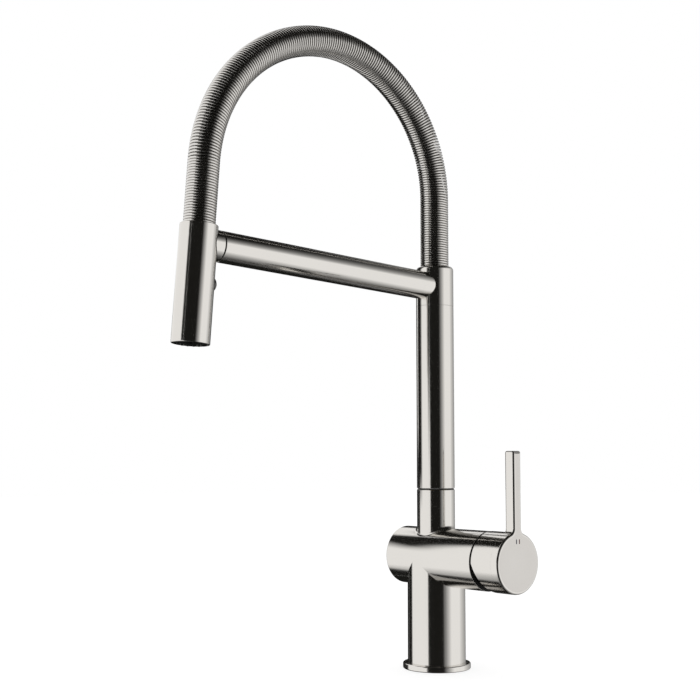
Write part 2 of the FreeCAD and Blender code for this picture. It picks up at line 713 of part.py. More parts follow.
def head_place(along):
    # a point on the head's axis
    tilt = math.radians(value("head_tilt"))
    return Vector(0, value("head_y") + along * math.sin(tilt), value("head_z") + along * math.cos(tilt))


def arch_bends():
    # The arch in the plane x = 0: a straight leg up from the collar, a bend that runs into a wider one
    # which touches the head's axis, and a straight leg down to the head. Each bend is given as its centre,
    # its radius and the angles that it starts and ends at.
    tilt = math.radians(value("head_tilt"))
    turn = math.radians(value("arch_turn"))
    first = value("arch_share * arm_reach")
    first_centre = Vector(0, -first, value("spring_bend_height"))
    at_join = Vector(0, math.cos(turn), math.sin(turn))
    at_head = Vector(0, -math.cos(tilt), math.sin(tilt))
    join = first_centre + at_join * first
    second = (head_place(0) - join).dot(at_head) / (1 - at_join.dot(at_head))
    return [(first_centre, first, 0, turn), (join - at_join * second, second, turn, math.pi - tilt)]


def on_bend(bend, angle):
    centre, radius, begin, end = bend
    return centre + Vector(0, math.cos(angle), math.sin(angle)) * radius


def arch_frame(length, start):
    # the point, the way on and the outward normal at a length along the arch from a start height
    left = length - value("spring_bend_height") + start
    if left <= 0:
        return Vector(0, 0, start + length), Vector(0, 0, 1), Vector(0, 1, 0)
    for bend in arch_bends():
        centre, radius, begin, end = bend
        angle = min(begin + left / radius, end)
        left -= (angle - begin) * radius
        if angle < end:
            break
    outward = Vector(0, math.cos(angle), math.sin(angle))
    onward = Vector(0, -math.sin(angle), math.cos(angle))
    return on_bend(bend, angle) + onward * left, onward, outward


def arch_length(start, stop):
    bends = arch_bends()
    round_the_bends = sum(radius * (end - begin) for centre, radius, begin, end in bends)
    last_leg = (on_bend(bends[-1], bends[-1][3]) - head_place(stop)).Length
    return value("spring_bend_height") - start + round_the_bends + last_leg


def biarc(here, way_here, there, way_there):
    # two arcs that join two points, each tangent to its end's way and to the other
    span = there - here
    bend = 2 * (1 - way_here.dot(way_there))
    sum_ways = way_here + way_there
    ahead = span.dot(sum_ways)
    reach = (math.sqrt(ahead ** 2 + bend * span.dot(span)) - ahead) / bend
    corner_here = here + way_here * reach
    corner_there = there - way_there * reach
    middle = (corner_here + corner_there) * 0.5
    return [bend_edge(here, corner_here, middle), bend_edge(middle, corner_there, there)]


def bend_edge(first, corner, last):
    half = (first + last) * 0.5
    lift = corner - half
    chord = (last - first).Length / 2
    sagitta = chord * math.tan(math.atan2(lift.Length, chord) / 2)
    return Part.Arc(first, half + lift.normalize() * sagitta, last).toShape()


def wound_wire(place, steps, wire_radius, end_run):
    # a solid wire along biarcs between the given places and ways, with a straight run at each end
    stations = [place(step) for step in range(steps + 1)]
    first, first_way = stations[0]
    last, last_way = stations[-1]
    edges = [Part.LineSegment(first - first_way * end_run, first).toShape()]
    for (here, way_here), (there, way_there) in zip(stations, stations[1:]):
        edges += biarc(here, way_here, there, way_there)
    edges.append(Part.LineSegment(last, last + last_way * end_run).toShape())
    section = Part.Wire(Part.makeCircle(wire_radius, first - first_way * end_run, first_way))
    return edges, Part.Wire(edges).makePipeShell([section], True, False)


def least_gap(edges, edges_in_turn, wire_radius, samples=6):
    # the least gap between the wire and itself, from points half a turn or more apart
    points = []
    for number, edge in enumerate(edges):
        for point in edge.discretize(samples + 1)[:-1]:
            points.append((number, point))
    apart = edges_in_turn // 2
    near = 2 * edges_in_turn
    least = float("inf")
    for index, (number, point) in enumerate(points):
        for other, there in points[index + 1: index + near * samples]:
            if other - number > apart:
                least = min(least, (there - point).Length)
    return least - 2 * wire_radius


def spring():
    start = value("spring_start")
    stop = value("spring_stop")
    turns = int(value("spring_turns"))
    wire = value("wire_radius")
    reach = value("spring_line")
    total = arch_length(start, stop)
    pitch = total / turns
    turn_rate = 2 * math.pi / pitch

    def place(half_turn):
        length = half_turn * pitch / 2
        middle, onward, outward = arch_frame(length, start)
        angle = math.pi / 2 + math.pi * half_turn
        sideways = Vector(1, 0, 0)
        point = middle + (outward * math.cos(angle) + sideways * math.sin(angle)) * reach
        way = onward + (sideways * math.cos(angle) - outward * math.sin(angle)) * reach * turn_rate
        return point, way.normalize()

    edges, shape = wound_wire(place, 2 * turns, wire, 2 * wire)
    radii = tuple(bend[1] for bend in arch_bends())
    print("spring: %d turns, pitch %.2f, least gap %.2f" % (turns, pitch, least_gap(edges, 4, wire)))
    print("arch: bends of radius %.2f and %.2f" % radii)
    coil = doc.addObject("Part::Feature", "coil_spring")
    coil.Shape = shape
    node("coil_spring", coil)


def hose():
    foot_point = Vector(0, 0, value("lower_nipple_top + free_gap"))
    bends = arch_bends()
    edges = [Part.LineSegment(foot_point, on_bend(bends[0], 0)).toShape()]
    for bend in bends:
        begin, end = bend[2:]
        edges.append(Part.Arc(on_bend(bend, begin), on_bend(bend, (begin + end) / 2), on_bend(bend, end)).toShape())
    edges.append(Part.LineSegment(on_bend(bends[-1], bends[-1][3]), head_place(value("ferrule_low"))).toShape())
    path = Part.Wire(edges)
    sections = [Part.Wire(Part.makeCircle(value(name), foot_point, Vector(0, 0, 1)))
                for name in ("hose_radius", "hose_bore")]
    outside, inside = [path.makePipeShell([section], True, False) for section in sections]
    tube = doc.addObject("Part::Feature", "hose")
    tube.Shape = outside.cut(inside)
    node("hose", tube)


def hose_ends():
    lower = turned("lower_nipple", "column", [
        ("barb_bore", "collar_web_low"), ("thread_radius - fit_gap", "collar_web_low"),
        ("thread_radius - fit_gap", "collar_web_high"), ("nipple_flange", "collar_web_high"),
        ("nipple_flange", "lower_nipple_top"), ("hose_bore - fit_gap", "lower_nipple_top"),
        ("hose_bore - fit_gap", "spring_start - 2 * free_gap"), ("barb_bore", "spring_start - 2 * free_gap")])
    node("lower_nipple", lower)
    node("lower_ferrule", turned("lower_ferrule", "column", ring(
        "hose_radius + fit_gap", "ferrule_radius", "lower_nipple_top",
        "spring_start - 2 * wire_radius - free_gap")))
    node("upper_ferrule", turned("upper_ferrule", "head", ring(
        "hose_radius + fit_gap", "ferrule_radius", "flange_low + nipple_flange_thick", "ferrule_high")))
    node("upper_nipple", turned("upper_nipple", "head", [
        ("barb_bore", "spigot_low"), ("upper_spigot", "spigot_low"), ("upper_spigot", "flange_low"),
        ("nipple_flange", "flange_low"), ("nipple_flange", "flange_low + nipple_flange_thick"),
        ("hose_bore - run_gap", "flange_low + nipple_flange_thick"), ("hose_bore - run_gap", "ferrule_high"),
        ("barb_bore", "ferrule_high")]))


# Spray head

def head_shell():
    shell = turned("shell_blank", "head", [
        ("head_bore", "-head_below"), ("head_radius", "-head_below"), ("head_radius", "head_above"),
        ("spring_radius + free_gap", "head_above"), ("spring_radius + free_gap", "head_above - head_lip"),
        ("head_bore", "head_above - head_lip")])
    round_rings(shell, [("head_radius", "head_above"), ("head_radius", "-head_below")], "head_round")
    button_hole = rod("shell_button_hole", "button", "button_radius + free_gap", "0", "head_radius + over_cut")
    node("head_shell", cut("head_shell", shell, [button_hole]))
    nut_low = "flange_low + nipple_flange_thick + free_gap"
    node("head_swivel_nut", turned("head_swivel_nut", "head", ring(
        "ferrule_radius + free_gap", "head_bore - fit_gap", nut_low, nut_low + " + swivel_nut_thick")))
    keeper_outer = "head_bore - fit_gap"
    node("head_keeper", turned("head_keeper", "head", ring(
        keeper_outer + " - keeper_thick", keeper_outer, "-keeper_low", "keeper_high"),
        "keeper_angle", "YZ_Plane"))


def head_core():
    seal_low = "-head_seal_place - seal_section - fit_gap"
    seal_high = "-head_seal_place + seal_section + fit_gap"
    groove = "head_bore - fit_gap - 2 * seal_section"
    blank = turned("core_blank", "head", [
        ("0", "face_top"), ("head_bore - fit_gap", "face_top"), ("head_bore - fit_gap", seal_low),
        (groove, seal_low), (groove, seal_high), ("head_bore - fit_gap", seal_high),
        ("head_bore - fit_gap", "core_top"), ("upper_spigot + run_gap", "core_top"),
        ("upper_spigot + run_gap", "valve_top"), ("valve_radius + fit_gap", "valve_top"),
        ("valve_radius + fit_gap", "valve_low - fit_gap"), ("0", "valve_low - fit_gap")])
    water_way = rod("core_way", "head", "core_bore", "face_top - over_cut", "valve_low")
    spool_bore = rod("core_spool_bore", "button", "spool_radius + run_gap",
                     "-spool_depth - button_spring_length - free_gap", "head_radius")
    button_well = rod("core_button_well", "button", "button_radius + free_gap", "spool_end", "head_radius")
    node("head_core", cut("head_core", blank, [water_way, spool_bore, button_well]))
    node("head_o_ring", donut("head_o_ring", "head", groove + " + seal_section", "seal_section",
                              "-head_seal_place"))
    node("check_valve", turned("check_valve", "head", [
        ("core_bore", "valve_low"), ("valve_radius", "valve_low"), ("valve_radius", "valve_top - fit_gap"),
        ("barb_bore", "valve_top - fit_gap"), ("barb_bore", "valve_low + valve_seat"),
        ("core_bore", "valve_low + valve_seat")]))


def spray_face():
    face_low = "face_recess - head_below"
    plate = turned("face_plate", "head", ring(
        "aerator_radius + fit_gap", "head_bore - fit_gap", face_low, "face_top"))
    nozzles = []
    count = int(value("nozzle_count"))
    for number in range(count):
        nozzle = doc.addObject("Part::Cone", "nozzle_%d" % number)
        nozzle.setExpression("Radius1", bound("nozzle_tip"))
        nozzle.setExpression("Radius2", bound("nozzle_radius"))
        nozzle.setExpression("Height", bound("nozzle_reach + face_recess"))
        turn = 360.0 * number / count
        across = "nozzle_circle * cos(%s * 1 deg)" % turn
        deep = "nozzle_circle * sin(%s * 1 deg)" % turn
        aside = (across, "%s * %s" % (deep, head_cos), "-%s * %s" % (deep, head_sin))
        nozzles.append(lay(nozzle, "head", face_low + " - nozzle_reach", aside))
    node("spray_face", joined("spray_face", [plate] + nozzles))
    aerator_low = "aerator_recess - head_below"
    node("aerator", turned("aerator", "head", [
        ("0", aerator_low + " + aerator_dish"), ("aerator_radius - aerator_rim", aerator_low + " + aerator_dish"),
        ("aerator_radius - aerator_rim", aerator_low), ("aerator_radius", aerator_low),
        ("aerator_radius", "face_top"), ("0", "face_top")]))


def button():
    crown = "(button_radius * button_radius + button_crown * button_crown) / (2 * button_crown)"
    node("spray_button", turned("spray_button", "button", [
        ("0", "button_back"), ("button_radius", "button_back"),
        ("button_radius", "button_face - button_crown", crown, -1), ("0", "button_face")]))
    node("diverter_spool", turned("diverter_spool", "button", [
        ("0", "-spool_depth"), ("spool_radius", "-spool_depth"), ("spool_radius", "spool_land - spool_depth"),
        ("spool_waist", "spool_land - spool_depth"),
        ("spool_waist", "spool_depth"), ("spool_radius", "spool_depth"), ("spool_radius", "button_back"),
        ("0", "button_back")]))

    turns = int(value("button_spring_turns"))
    wire = value("button_spring_wire")
    reach = value("spool_waist")
    low = value("-spool_depth - button_spring_length + button_spring_wire")
    pitch = value("button_spring_length - 2 * button_spring_wire - free_gap") / turns

    def place(half_turn):
        angle = math.pi * half_turn
        point = Vector(reach * math.cos(angle), reach * math.sin(angle), low + pitch * half_turn / 2)
        way = Vector(-math.sin(angle), math.cos(angle), pitch / (2 * math.pi * reach))
        return point, way.normalize()

    edges, shape = wound_wire(place, 2 * turns, wire, 2 * wire)
    print("button spring: %d turns, pitch %.2f, least gap %.2f" % (turns, pitch, least_gap(edges, 4, wire)))
    coil = doc.addObject("Part::Feature", "button_spring")
    coil.Shape = shape
    node("button_spring", lay(coil, "button"))


def check_and_write():
    doc.recompute()
    for piece in doc.Objects:
        assert not {"Invalid", "Error"} & set(piece.State), "%s failed: %s" % (piece.Name, piece.State)
    os.makedirs("parts", exist_ok=True)
    for name, piece in nodes.items():
        assert not piece.Shape.isNull() and piece.Shape.isValid(), name + " has no valid shape"
        assert piece.Shape.Solids, name + " has no solid"
    for name, piece in nodes.items():
        piece.Shape.exportStep("parts/%s.step" % name)
    print("%d nodes, %d solids" % (len(nodes), sum(len(piece.Shape.Solids) for piece in nodes.values())))


fill_sheet()
foot()
mixer_body()
cartridge()
spindle()
handle()
swivel()
column_and_arm()
spring()
hose()
hose_ends()
head_shell()
head_core()
spray_face()
button()
check_and_write()
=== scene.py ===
import bmesh
import bpy
import json
import math
from mathutils import Matrix, Vector
from mathutils.bvhtree import BVHTree
from mathutils.interpolate import poly_3d_calc


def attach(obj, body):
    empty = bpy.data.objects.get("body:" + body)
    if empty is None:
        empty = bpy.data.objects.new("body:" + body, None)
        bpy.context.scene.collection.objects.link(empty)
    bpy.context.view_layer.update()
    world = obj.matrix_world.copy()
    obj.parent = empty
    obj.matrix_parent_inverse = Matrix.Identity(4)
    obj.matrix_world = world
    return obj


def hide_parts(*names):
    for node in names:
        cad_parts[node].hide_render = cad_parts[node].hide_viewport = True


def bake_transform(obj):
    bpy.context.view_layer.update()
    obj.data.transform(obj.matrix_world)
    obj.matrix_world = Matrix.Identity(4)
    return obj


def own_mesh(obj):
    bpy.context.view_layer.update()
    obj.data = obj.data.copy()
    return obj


# Kitchen mixer tap: polished tubes turned from their sections, an arched coil spring, a white studio

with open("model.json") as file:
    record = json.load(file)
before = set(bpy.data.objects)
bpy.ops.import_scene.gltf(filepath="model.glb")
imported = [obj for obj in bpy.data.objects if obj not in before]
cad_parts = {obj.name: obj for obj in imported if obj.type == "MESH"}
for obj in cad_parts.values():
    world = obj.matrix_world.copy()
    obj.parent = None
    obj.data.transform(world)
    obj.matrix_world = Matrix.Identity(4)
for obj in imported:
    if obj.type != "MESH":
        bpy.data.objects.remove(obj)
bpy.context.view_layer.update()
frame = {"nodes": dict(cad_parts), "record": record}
scene = bpy.context.scene
mm = 0.001

# sizes in millimetres and degrees, as everywhere below unless a note says metres
tap = {
    "barrelHeight": 91.4, "armHeight": 318.55, "armTilt": 2.86, "armReach": 240.0,
    "headTilt": 4.2, "buttonDrop": 29.1, "plugPlace": 81.5, "armScrewPlace": 27.0,
}
overCut = 1.0  # how far a cutter runs past the face that it opens
# steps round, or along, each kind of curve
fineness = {
    "round": 128, "disc": 96, "button": 64, "drill": 48, "blend": 10, "tip": 8, "ball": 8, "fillet": 8,
    "corner": 6,
}
# when two places or two ways count as one, and the most sides of a pinhole
close = {
    "onAxis": 1e-6, "gridPerMetre": 1e7, "metresToShell": 2e-6, "sameWay": 0.9, "nearSquare": 0.99,
    "squareOn": 0.999, "outline": 1e-4, "mend": 0.001, "place": 0.01, "pinholeSides": 8,
}


def axisFrame(origin, along, across):
    z = Vector(along).normalized()
    x = Vector(across).normalized()
    turn = Matrix((x, z.cross(x), z)).transposed().to_4x4()
    turn.translation = Vector(origin) * mm
    return turn


armAngle = math.radians(tap["armTilt"])
headAngle = math.radians(tap["headTilt"])
armAlong = Vector((0, -math.cos(armAngle), math.sin(armAngle)))
headAlong = Vector((0, math.sin(headAngle), math.cos(headAngle)))
armFoot = Vector((0, 0, tap["armHeight"]))
headCentre = armFoot + armAlong * tap["armReach"]
sideways = Vector((1, 0, 0))
buttonOut = Vector((0, math.cos(headAngle), -math.sin(headAngle)))
columnAxis = axisFrame((0, 0, 0), (0, 0, 1), sideways)
barrelAxis = axisFrame((0, 0, tap["barrelHeight"]), sideways, (0, 0, 1))  # local x is up
armAxis = axisFrame(armFoot, armAlong, sideways)
headAxis = axisFrame(headCentre, headAlong, sideways)
buttonPlace = headCentre - headAlong * tap["buttonDrop"]
buttonAxis = axisFrame(buttonPlace, buttonOut, sideways)
plugAxis = axisFrame((tap["plugPlace"], 0, tap["barrelHeight"]), (0, 0, -1), sideways)
armScrewAxis = axisFrame(armFoot + armAlong * tap["armScrewPlace"], armAlong.cross(sideways), sideways)


# Materials

def nodeTree(owner):
    owner.use_nodes = True
    owner.node_tree.nodes.clear()
    return owner.node_tree


def addNode(tree, kind, inputs=None, **settings):
    added = tree.nodes.new(kind)
    for name, setting in settings.items():
        setattr(added, name, setting)
    for name, given in (inputs or {}).items():
        if isinstance(given, bpy.types.NodeSocket):
            tree.links.new(given, added.inputs[name])
        else:
            added.inputs[name].default_value = given
    return added


noise = {"cloudDetail": 3.0, "grainDetail": 4.0, "grainLow": 0.3, "grainHigh": 0.7}
mixSocket = {"first": 6, "second": 7, "mixed": 2}  # a mix node's sockets for colours


def finish(name, look):
    # a principled finish whose colour, roughness and bump come from fine noise in the piece's own space
    material = bpy.data.materials.new(name)
    tree = nodeTree(material)
    place = addNode(tree, "ShaderNodeTexCoord").outputs["Object"]
    stretched = addNode(tree, "ShaderNodeMapping", {"Vector": place, "Scale": look.get("stretch", (1, 1, 1))})
    cloud = addNode(tree, "ShaderNodeTexNoise", {
        "Vector": place, "Scale": look["cloudScale"], "Detail": noise["cloudDetail"]})
    grain = addNode(tree, "ShaderNodeTexNoise", {
        "Vector": stretched.outputs["Vector"], "Scale": look["grainScale"], "Detail": noise["grainDetail"]})
    tint = addNode(tree, "ShaderNodeMix", {"Factor": cloud.outputs["Fac"]}, data_type="RGBA")
    tint.inputs[mixSocket["first"]].default_value = (*look["dark"], 1)
    tint.inputs[mixSocket["second"]].default_value = (*look["light"], 1)
    rough = addNode(tree, "ShaderNodeMapRange", {
        "Value": grain.outputs["Fac"], "From Min": noise["grainLow"], "From Max": noise["grainHigh"],
        "To Min": look["rough"][0], "To Max": look["rough"][1]})
    bump = addNode(tree, "ShaderNodeBump", {
        "Strength": look["bump"], "Distance": look["bumpDepth"], "Height": grain.outputs["Fac"]})
    shader = addNode(tree, "ShaderNodeBsdfPrincipled", {
        "Base Color": tint.outputs[mixSocket["mixed"]], "Roughness": rough.outputs["Result"],
        "Normal": bump.outputs["Normal"], "Metallic": look.get("metallic", 0.0), "IOR": look.get("ior", 1.5)})
    addNode(tree, "ShaderNodeOutputMaterial", {"Surface": shader.outputs["BSDF"]})
    return material


# bumpDepth is in metres, and the scales of the noise are a metre's
finishes = {
    "steel": {
        "dark": (0.720, 0.696, 0.658), "light": (0.775, 0.751, 0.713), "metallic": 1.0, "rough": (0.10, 0.15),
        "bump": 0.03, "bumpDepth": 0.00002, "cloudScale": 9.0, "grainScale": 900.0},
    "faceSteel": {
        "dark": (0.605, 0.582, 0.552), "light": (0.665, 0.642, 0.612), "metallic": 1.0, "rough": (0.16, 0.24),
        "bump": 0.03, "bumpDepth": 0.00002, "cloudScale": 30.0, "grainScale": 900.0,
        "stretch": (1.0, 1.0, 0.05)},
    "darkSteel": {
        "dark": (0.085, 0.083, 0.080), "light": (0.120, 0.118, 0.113), "metallic": 1.0, "rough": (0.12, 0.18),
        "bump": 0.03, "bumpDepth": 0.00002, "cloudScale": 90.0, "grainScale": 900.0},
    "springSteel": {
        "dark": (0.68, 0.66, 0.630), "light": (0.75, 0.73, 0.700), "metallic": 1.0, "rough": (0.12, 0.18),
        "bump": 0.04, "bumpDepth": 0.00002, "cloudScale": 40.0, "grainScale": 1400.0},
    "brass": {
        "dark": (0.60, 0.45, 0.20), "light": (0.74, 0.58, 0.30), "metallic": 1.0, "rough": (0.22, 0.34),
        "bump": 0.05, "bumpDepth": 0.00003, "cloudScale": 30.0, "grainScale": 900.0},
    "blackRubber": {
        "dark": (0.008, 0.008, 0.008), "light": (0.022, 0.021, 0.020), "rough": (0.42, 0.62),
        "bump": 0.10, "bumpDepth": 0.00005, "cloudScale": 60.0, "grainScale": 1500.0},
    # a near-black finish that paints the shade on pieces deep in the head's mouth and behind the handle's cap
    "paintedShadeBlack": {
        "dark": (0.004, 0.004, 0.004), "light": (0.012, 0.012, 0.011), "rough": (0.42, 0.62), "ior": 1.25,
        "bump": 0.10, "bumpDepth": 0.00005, "cloudScale": 60.0, "grainScale": 1500.0},
    "hoseRubber": {
        "dark": (0.010, 0.010, 0.010), "light": (0.030, 0.029, 0.028), "rough": (0.40, 0.60),
        "bump": 0.20, "bumpDepth": 0.00010, "cloudScale": 40.0, "grainScale": 900.0},
    # the black plastic slot's finish, which is also put on the arm's seam faces as painted shade
    "blackPlasticAndSeamShade": {
        "dark": (0.012, 0.012, 0.011), "light": (0.028, 0.027, 0.026), "rough": (0.34, 0.50),
        "bump": 0.08, "bumpDepth": 0.00004, "cloudScale": 50.0, "grainScale": 1800.0},
    "greyPlastic": {
        "dark": (0.22, 0.22, 0.215), "light": (0.30, 0.30, 0.295), "rough": (0.36, 0.52),
        "bump": 0.08, "bumpDepth": 0.00004, "cloudScale": 50.0, "grainScale": 1800.0},
    "whitePlastic": {
        "dark": (0.70, 0.70, 0.68), "light": (0.80, 0.80, 0.78), "rough": (0.36, 0.52),
        "bump": 0.08, "bumpDepth": 0.00004, "cloudScale": 50.0, "grainScale": 1800.0},
    "ceramic": {
        "dark": (0.80, 0.79, 0.75), "light": (0.88, 0.87, 0.83), "rough": (0.08, 0.16),
        "bump": 0.02, "bumpDepth": 0.00002, "cloudScale": 50.0, "grainScale": 1200.0},
    "magnet": {
        "dark": (0.45, 0.45, 0.45), "light": (0.55, 0.55, 0.55), "metallic": 1.0, "rough": (0.25, 0.36),
        "bump": 0.05, "bumpDepth": 0.00003, "cloudScale": 60.0, "grainScale": 1200.0},
    "coldBlue": {
        "dark": (0.026, 0.027, 0.042), "light": (0.036, 0.037, 0.056), "rough": (0.30, 0.42),
        "bump": 0.04, "bumpDepth": 0.00002, "cloudScale": 200.0, "grainScale": 2500.0},
    "hotRed": {
        "dark": (0.075, 0.026, 0.024), "light": (0.095, 0.034, 0.032), "rough": (0.30, 0.42),
        "bump": 0.04, "bumpDepth": 0.00002, "cloudScale": 200.0, "grainScale": 2500.0},
}
made = {name: finish(name, look) for name, look in finishes.items()}
slotFinish = {
    "steel": "steel", "spring_steel": "springSteel", "brass": "brass", "black_rubber": "blackRubber",
    "hose_rubber": "hoseRubber", "black_plastic": "blackPlasticAndSeamShade", "grey_plastic": "greyPlastic",
    "white_plastic": "whitePlastic", "ceramic": "ceramic", "magnet": "magnet", "cold_blue": "coldBlue",
    "hot_red": "hotRed",
}
# painted shade: pieces deep in the head's mouth and behind the handle's cap get a deeper black than their
# slot's finish, for the shade they sit in
nodeFinish = {name: "paintedShadeBlack" for name in ("spray_face", "aerator", "dome_cover")}
for part in frame["record"]["subparts"]:
    solid = frame["nodes"][part["node"]]
    for holder in solid.material_slots:
        holder.material = made[nodeFinish.get(part["node"], slotFinish[part["material_slot"]])]
print("finishes:", len(made))


# Turned pieces: a section of (radius, place) corners, rounded where a third number says so

def straightRun(first, last):
    out = (last[1] - first[1], first[0] - last[0])
    size = math.hypot(*out)
    normal = (out[0] / size, out[1] / size)
    return [(*first[:2], normal, first[2]), (*last[:2], normal, last[2])]


def cornerRun(before, corner, after, radius, steps):
    into = Vector((corner[0] - before[0], corner[1] - before[1])).normalized()
    away = Vector((after[0] - corner[0], after[1] - corner[1])).normalized()
    side = 1 if into.cross(away) > 0 else -1
    turn = into.angle(away)
    begin = Vector(corner[:2]) - into * radius * math.tan(turn / 2)
    facing = math.atan2(-into.x, into.y)
    centre = begin - Vector((math.cos(facing), math.sin(facing))) * side * radius
    run = []
    for step in range(steps + 1):
        angle = facing + side * turn * step / steps
        normal = (math.cos(angle), math.sin(angle))
        run.append((centre.x + side * radius * normal[0], centre.y + side * radius * normal[1], normal, None))
    return run


def sectionRuns(corners, closed=True):
    # corner: (radius, place[, rounding[, edge]]), where edge(x, y) gives the place round an uneven rim
    full = [(c[0], c[1], c[3] if len(c) > 3 else None, c[2] if len(c) > 2 else 0) for c in corners]
    count = len(full)
    ends = []
    runs = []
    for index, corner in enumerate(full):
        if corner[3] and (closed or 0 < index < count - 1):
            arc = cornerRun(full[index - 1], corner, full[(index + 1) % count], corner[3], fineness["corner"])
            ends.append((arc[0], arc[-1], arc))
        else:
            ends.append((corner, corner, None))
    for index in range(count):
        if ends[index][2]:
            runs.append(ends[index][2])
        if index < count - 1 or closed:
            first = ends[index][1]
            last = ends[(index + 1) % count][0]
            runs.append(straightRun((first[0], first[1], edgeOf(first)), (last[0], last[1], edgeOf(last))))
    return runs


def edgeOf(point):
    return point[2] if callable(point[2]) else None


def arcRun(centrePlace, radius, fromAngle, toAngle):
    # part of a ball on the axis, angles from the axis in degrees
    run = []
    steps = fineness["ball"]
    for step in range(steps + 1):
        angle = math.radians(fromAngle + (toAngle - fromAngle) * step / steps)
        normal = (math.sin(angle), math.cos(angle))
        run.append((radius * normal[0], centrePlace + radius * normal[1], normal, None))
    return run


def roundAngles(count):
    return [2 * math.pi * step / count for step in range(count)]


class Shell:
    # faces with their own corner normals, gathered for one mesh
    def __init__(self):
        self.points = []
        self.faces = []
        self.normals = []

    def addFace(self, corners, normals):
        self.faces.append(corners)
        self.normals += normals

    def turn(self, axis, runs, steps=fineness["round"]):
        turnMatrix = axis.to_3x3()
        for run in runs:
            rings = [self.ring(axis, point, steps) for point in run]
            facing = []
            for radius, place, (out, on), edge in run:
                facing.append([turnMatrix @ Vector((out * math.cos(a), out * math.sin(a), on))
                               for a in roundAngles(steps)])
            for low in range(len(run) - 1):
                for here in range(steps):
                    there = (here + 1) % steps
                    corners = [(low, here), (low, there), (low + 1, there), (low + 1, here)]
                    kept = []
                    for row, column in corners:
                        index = rings[row][column]
                        if index not in [k[0] for k in kept]:
                            kept.append((index, facing[row][column]))
                    if len(kept) > 2:
                        self.addFace([k[0] for k in kept], [k[1] for k in kept])

    def ring(self, axis, point, steps):
        radius, place, normal, edge = point
        if radius < close["onAxis"]:
            at = edge(0, 0) if edge else place
            self.points.append(axis @ (Vector((0, 0, at)) * mm))
            return [len(self.points) - 1] * steps
        start = len(self.points)
        for angle in roundAngles(steps):
            x, y = radius * math.cos(angle), radius * math.sin(angle)
            at = edge(x, y) if edge else place
            self.points.append(axis @ (Vector((x, y, at)) * mm))
        return list(range(start, start + steps))

    def build(self, name):
        # weld the rings that two runs share, then give every corner its true normal
        seen = {}
        link = []
        kept = []
        for point in self.points:
            key = tuple(round(c * close["gridPerMetre"]) for c in point)
            if key not in seen:
                seen[key] = len(kept)
                kept.append(point)
            link.append(seen[key])
        faces, normals, at = [], [], 0
        for face in self.faces:
            own = self.normals[at: at + len(face)]
            at += len(face)
            welded, turned = [], []
            for index, normal in zip(face, own):
                if link[index] not in welded:
                    welded.append(link[index])
                    turned.append(normal)
            if len(welded) > 2:
                faces.append(welded)
                normals += turned
        mesh = bpy.data.meshes.new(name)
        mesh.from_pydata(kept, [], faces)
        mesh.shade_smooth()
        mesh.normals_split_custom_set([tuple(n.normalized()) for n in normals])
        return addPiece(name, mesh)


def mend(mesh):
    # weld doubled corners and close the pinholes that carving leaves
    near = close["mend"] * mm
    work = bmesh.new()
    work.from_mesh(mesh)
    bmesh.ops.remove_doubles(work, verts=work.verts, dist=near)
    bmesh.ops.dissolve_degenerate(work, edges=work.edges, dist=near)
    rims = [edge for edge in work.edges if edge.is_boundary]
    bmesh.ops.holes_fill(work, edges=rims, sides=close["pinholeSides"])
    work.to_mesh(mesh)
    work.free()


def carve(name, wholes, cutters):
    # join closed shells and cut others away, then give the joined mesh back the shells' own normals
    shells = wholes + cutters
    solids = [shell.build(name + str(number)) for number, shell in enumerate(shells)]
    for number, other in enumerate(solids[1:], start=1):
        change = solids[0].modifiers.new("carve", "BOOLEAN")
        change.operation = "UNION" if number < len(wholes) else "DIFFERENCE"
        change.object = other
        change.solver = "EXACT"
    mesh = bpy.data.meshes.new_from_object(solids[0].evaluated_get(bpy.context.evaluated_depsgraph_get()))
    mesh.name = name
    mend(mesh)
    for solid in solids:
        bpy.data.meshes.remove(solid.data)
    shadeAs(mesh, shells)
    return addPiece(name, mesh)


def shadeAs(mesh, shells):
    points, faces, normals = [], [], []
    for shell in shells:
        at = 0
        for face in shell.faces:
            faces.append([index + len(points) for index in face])
            normals.append(shell.normals[at: at + len(face)])
            at += len(face)
        points += shell.points
    tree = BVHTree.FromPolygons(points, faces)
    mesh.shade_smooth()
    turned = []
    for face in mesh.polygons:
        flat, index, distance = tree.find_nearest(face.center)[1:]
        way = flat.dot(face.normal)
        same = distance < close["metresToShell"] and abs(way) > close["sameWay"]
        for corner in face.vertices:
            normal = face.normal.copy()
            if same:
                place = mesh.vertices[corner].co
                shares = poly_3d_calc([points[k] for k in faces[index]], place)
                smooth = sum((n * s for n, s in zip(normals[index], shares)), Vector())
                normal = smooth * math.copysign(1, way)
            turned.append(normal.normalized())
    mesh.normals_split_custom_set(turned)


def drill(axis, radius, low, high):
    shell = Shell()
    corners = [(0, low), (radius, low), (radius, high), (0, high)]
    shell.turn(axis, sectionRuns(corners, closed=False), steps=fineness["drill"])
    return shell


def addPiece(name, mesh):
    piece = bpy.data.objects.new(name, mesh)
    scene.collection.objects.link(piece)
    return piece


def settle(piece, body, slotName, *nodes):
    piece.data.materials.clear()
    piece.data.materials.append(made[slotFinish[slotName]])
    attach(piece, body)
    if nodes:
        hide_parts(*nodes)
    return piece


def facesFront(face):
    return face.normal.x > close["squareOn"]


def refinish(piece, finishName, picked):
    # give the faces that a rule picks a finish of their own
    piece.data.materials.append(made[finishName])
    for face in piece.data.polygons:
        if picked(face):
            face.material_index = 1


def turnedShell(axis, corners, closed=True):
    shell = Shell()
    shell.turn(axis, sectionRuns(corners, closed))
    return shell


def turned(name, axis, corners, closed=True):
    return turnedShell(axis, corners, closed).build(name)


# Foot and body

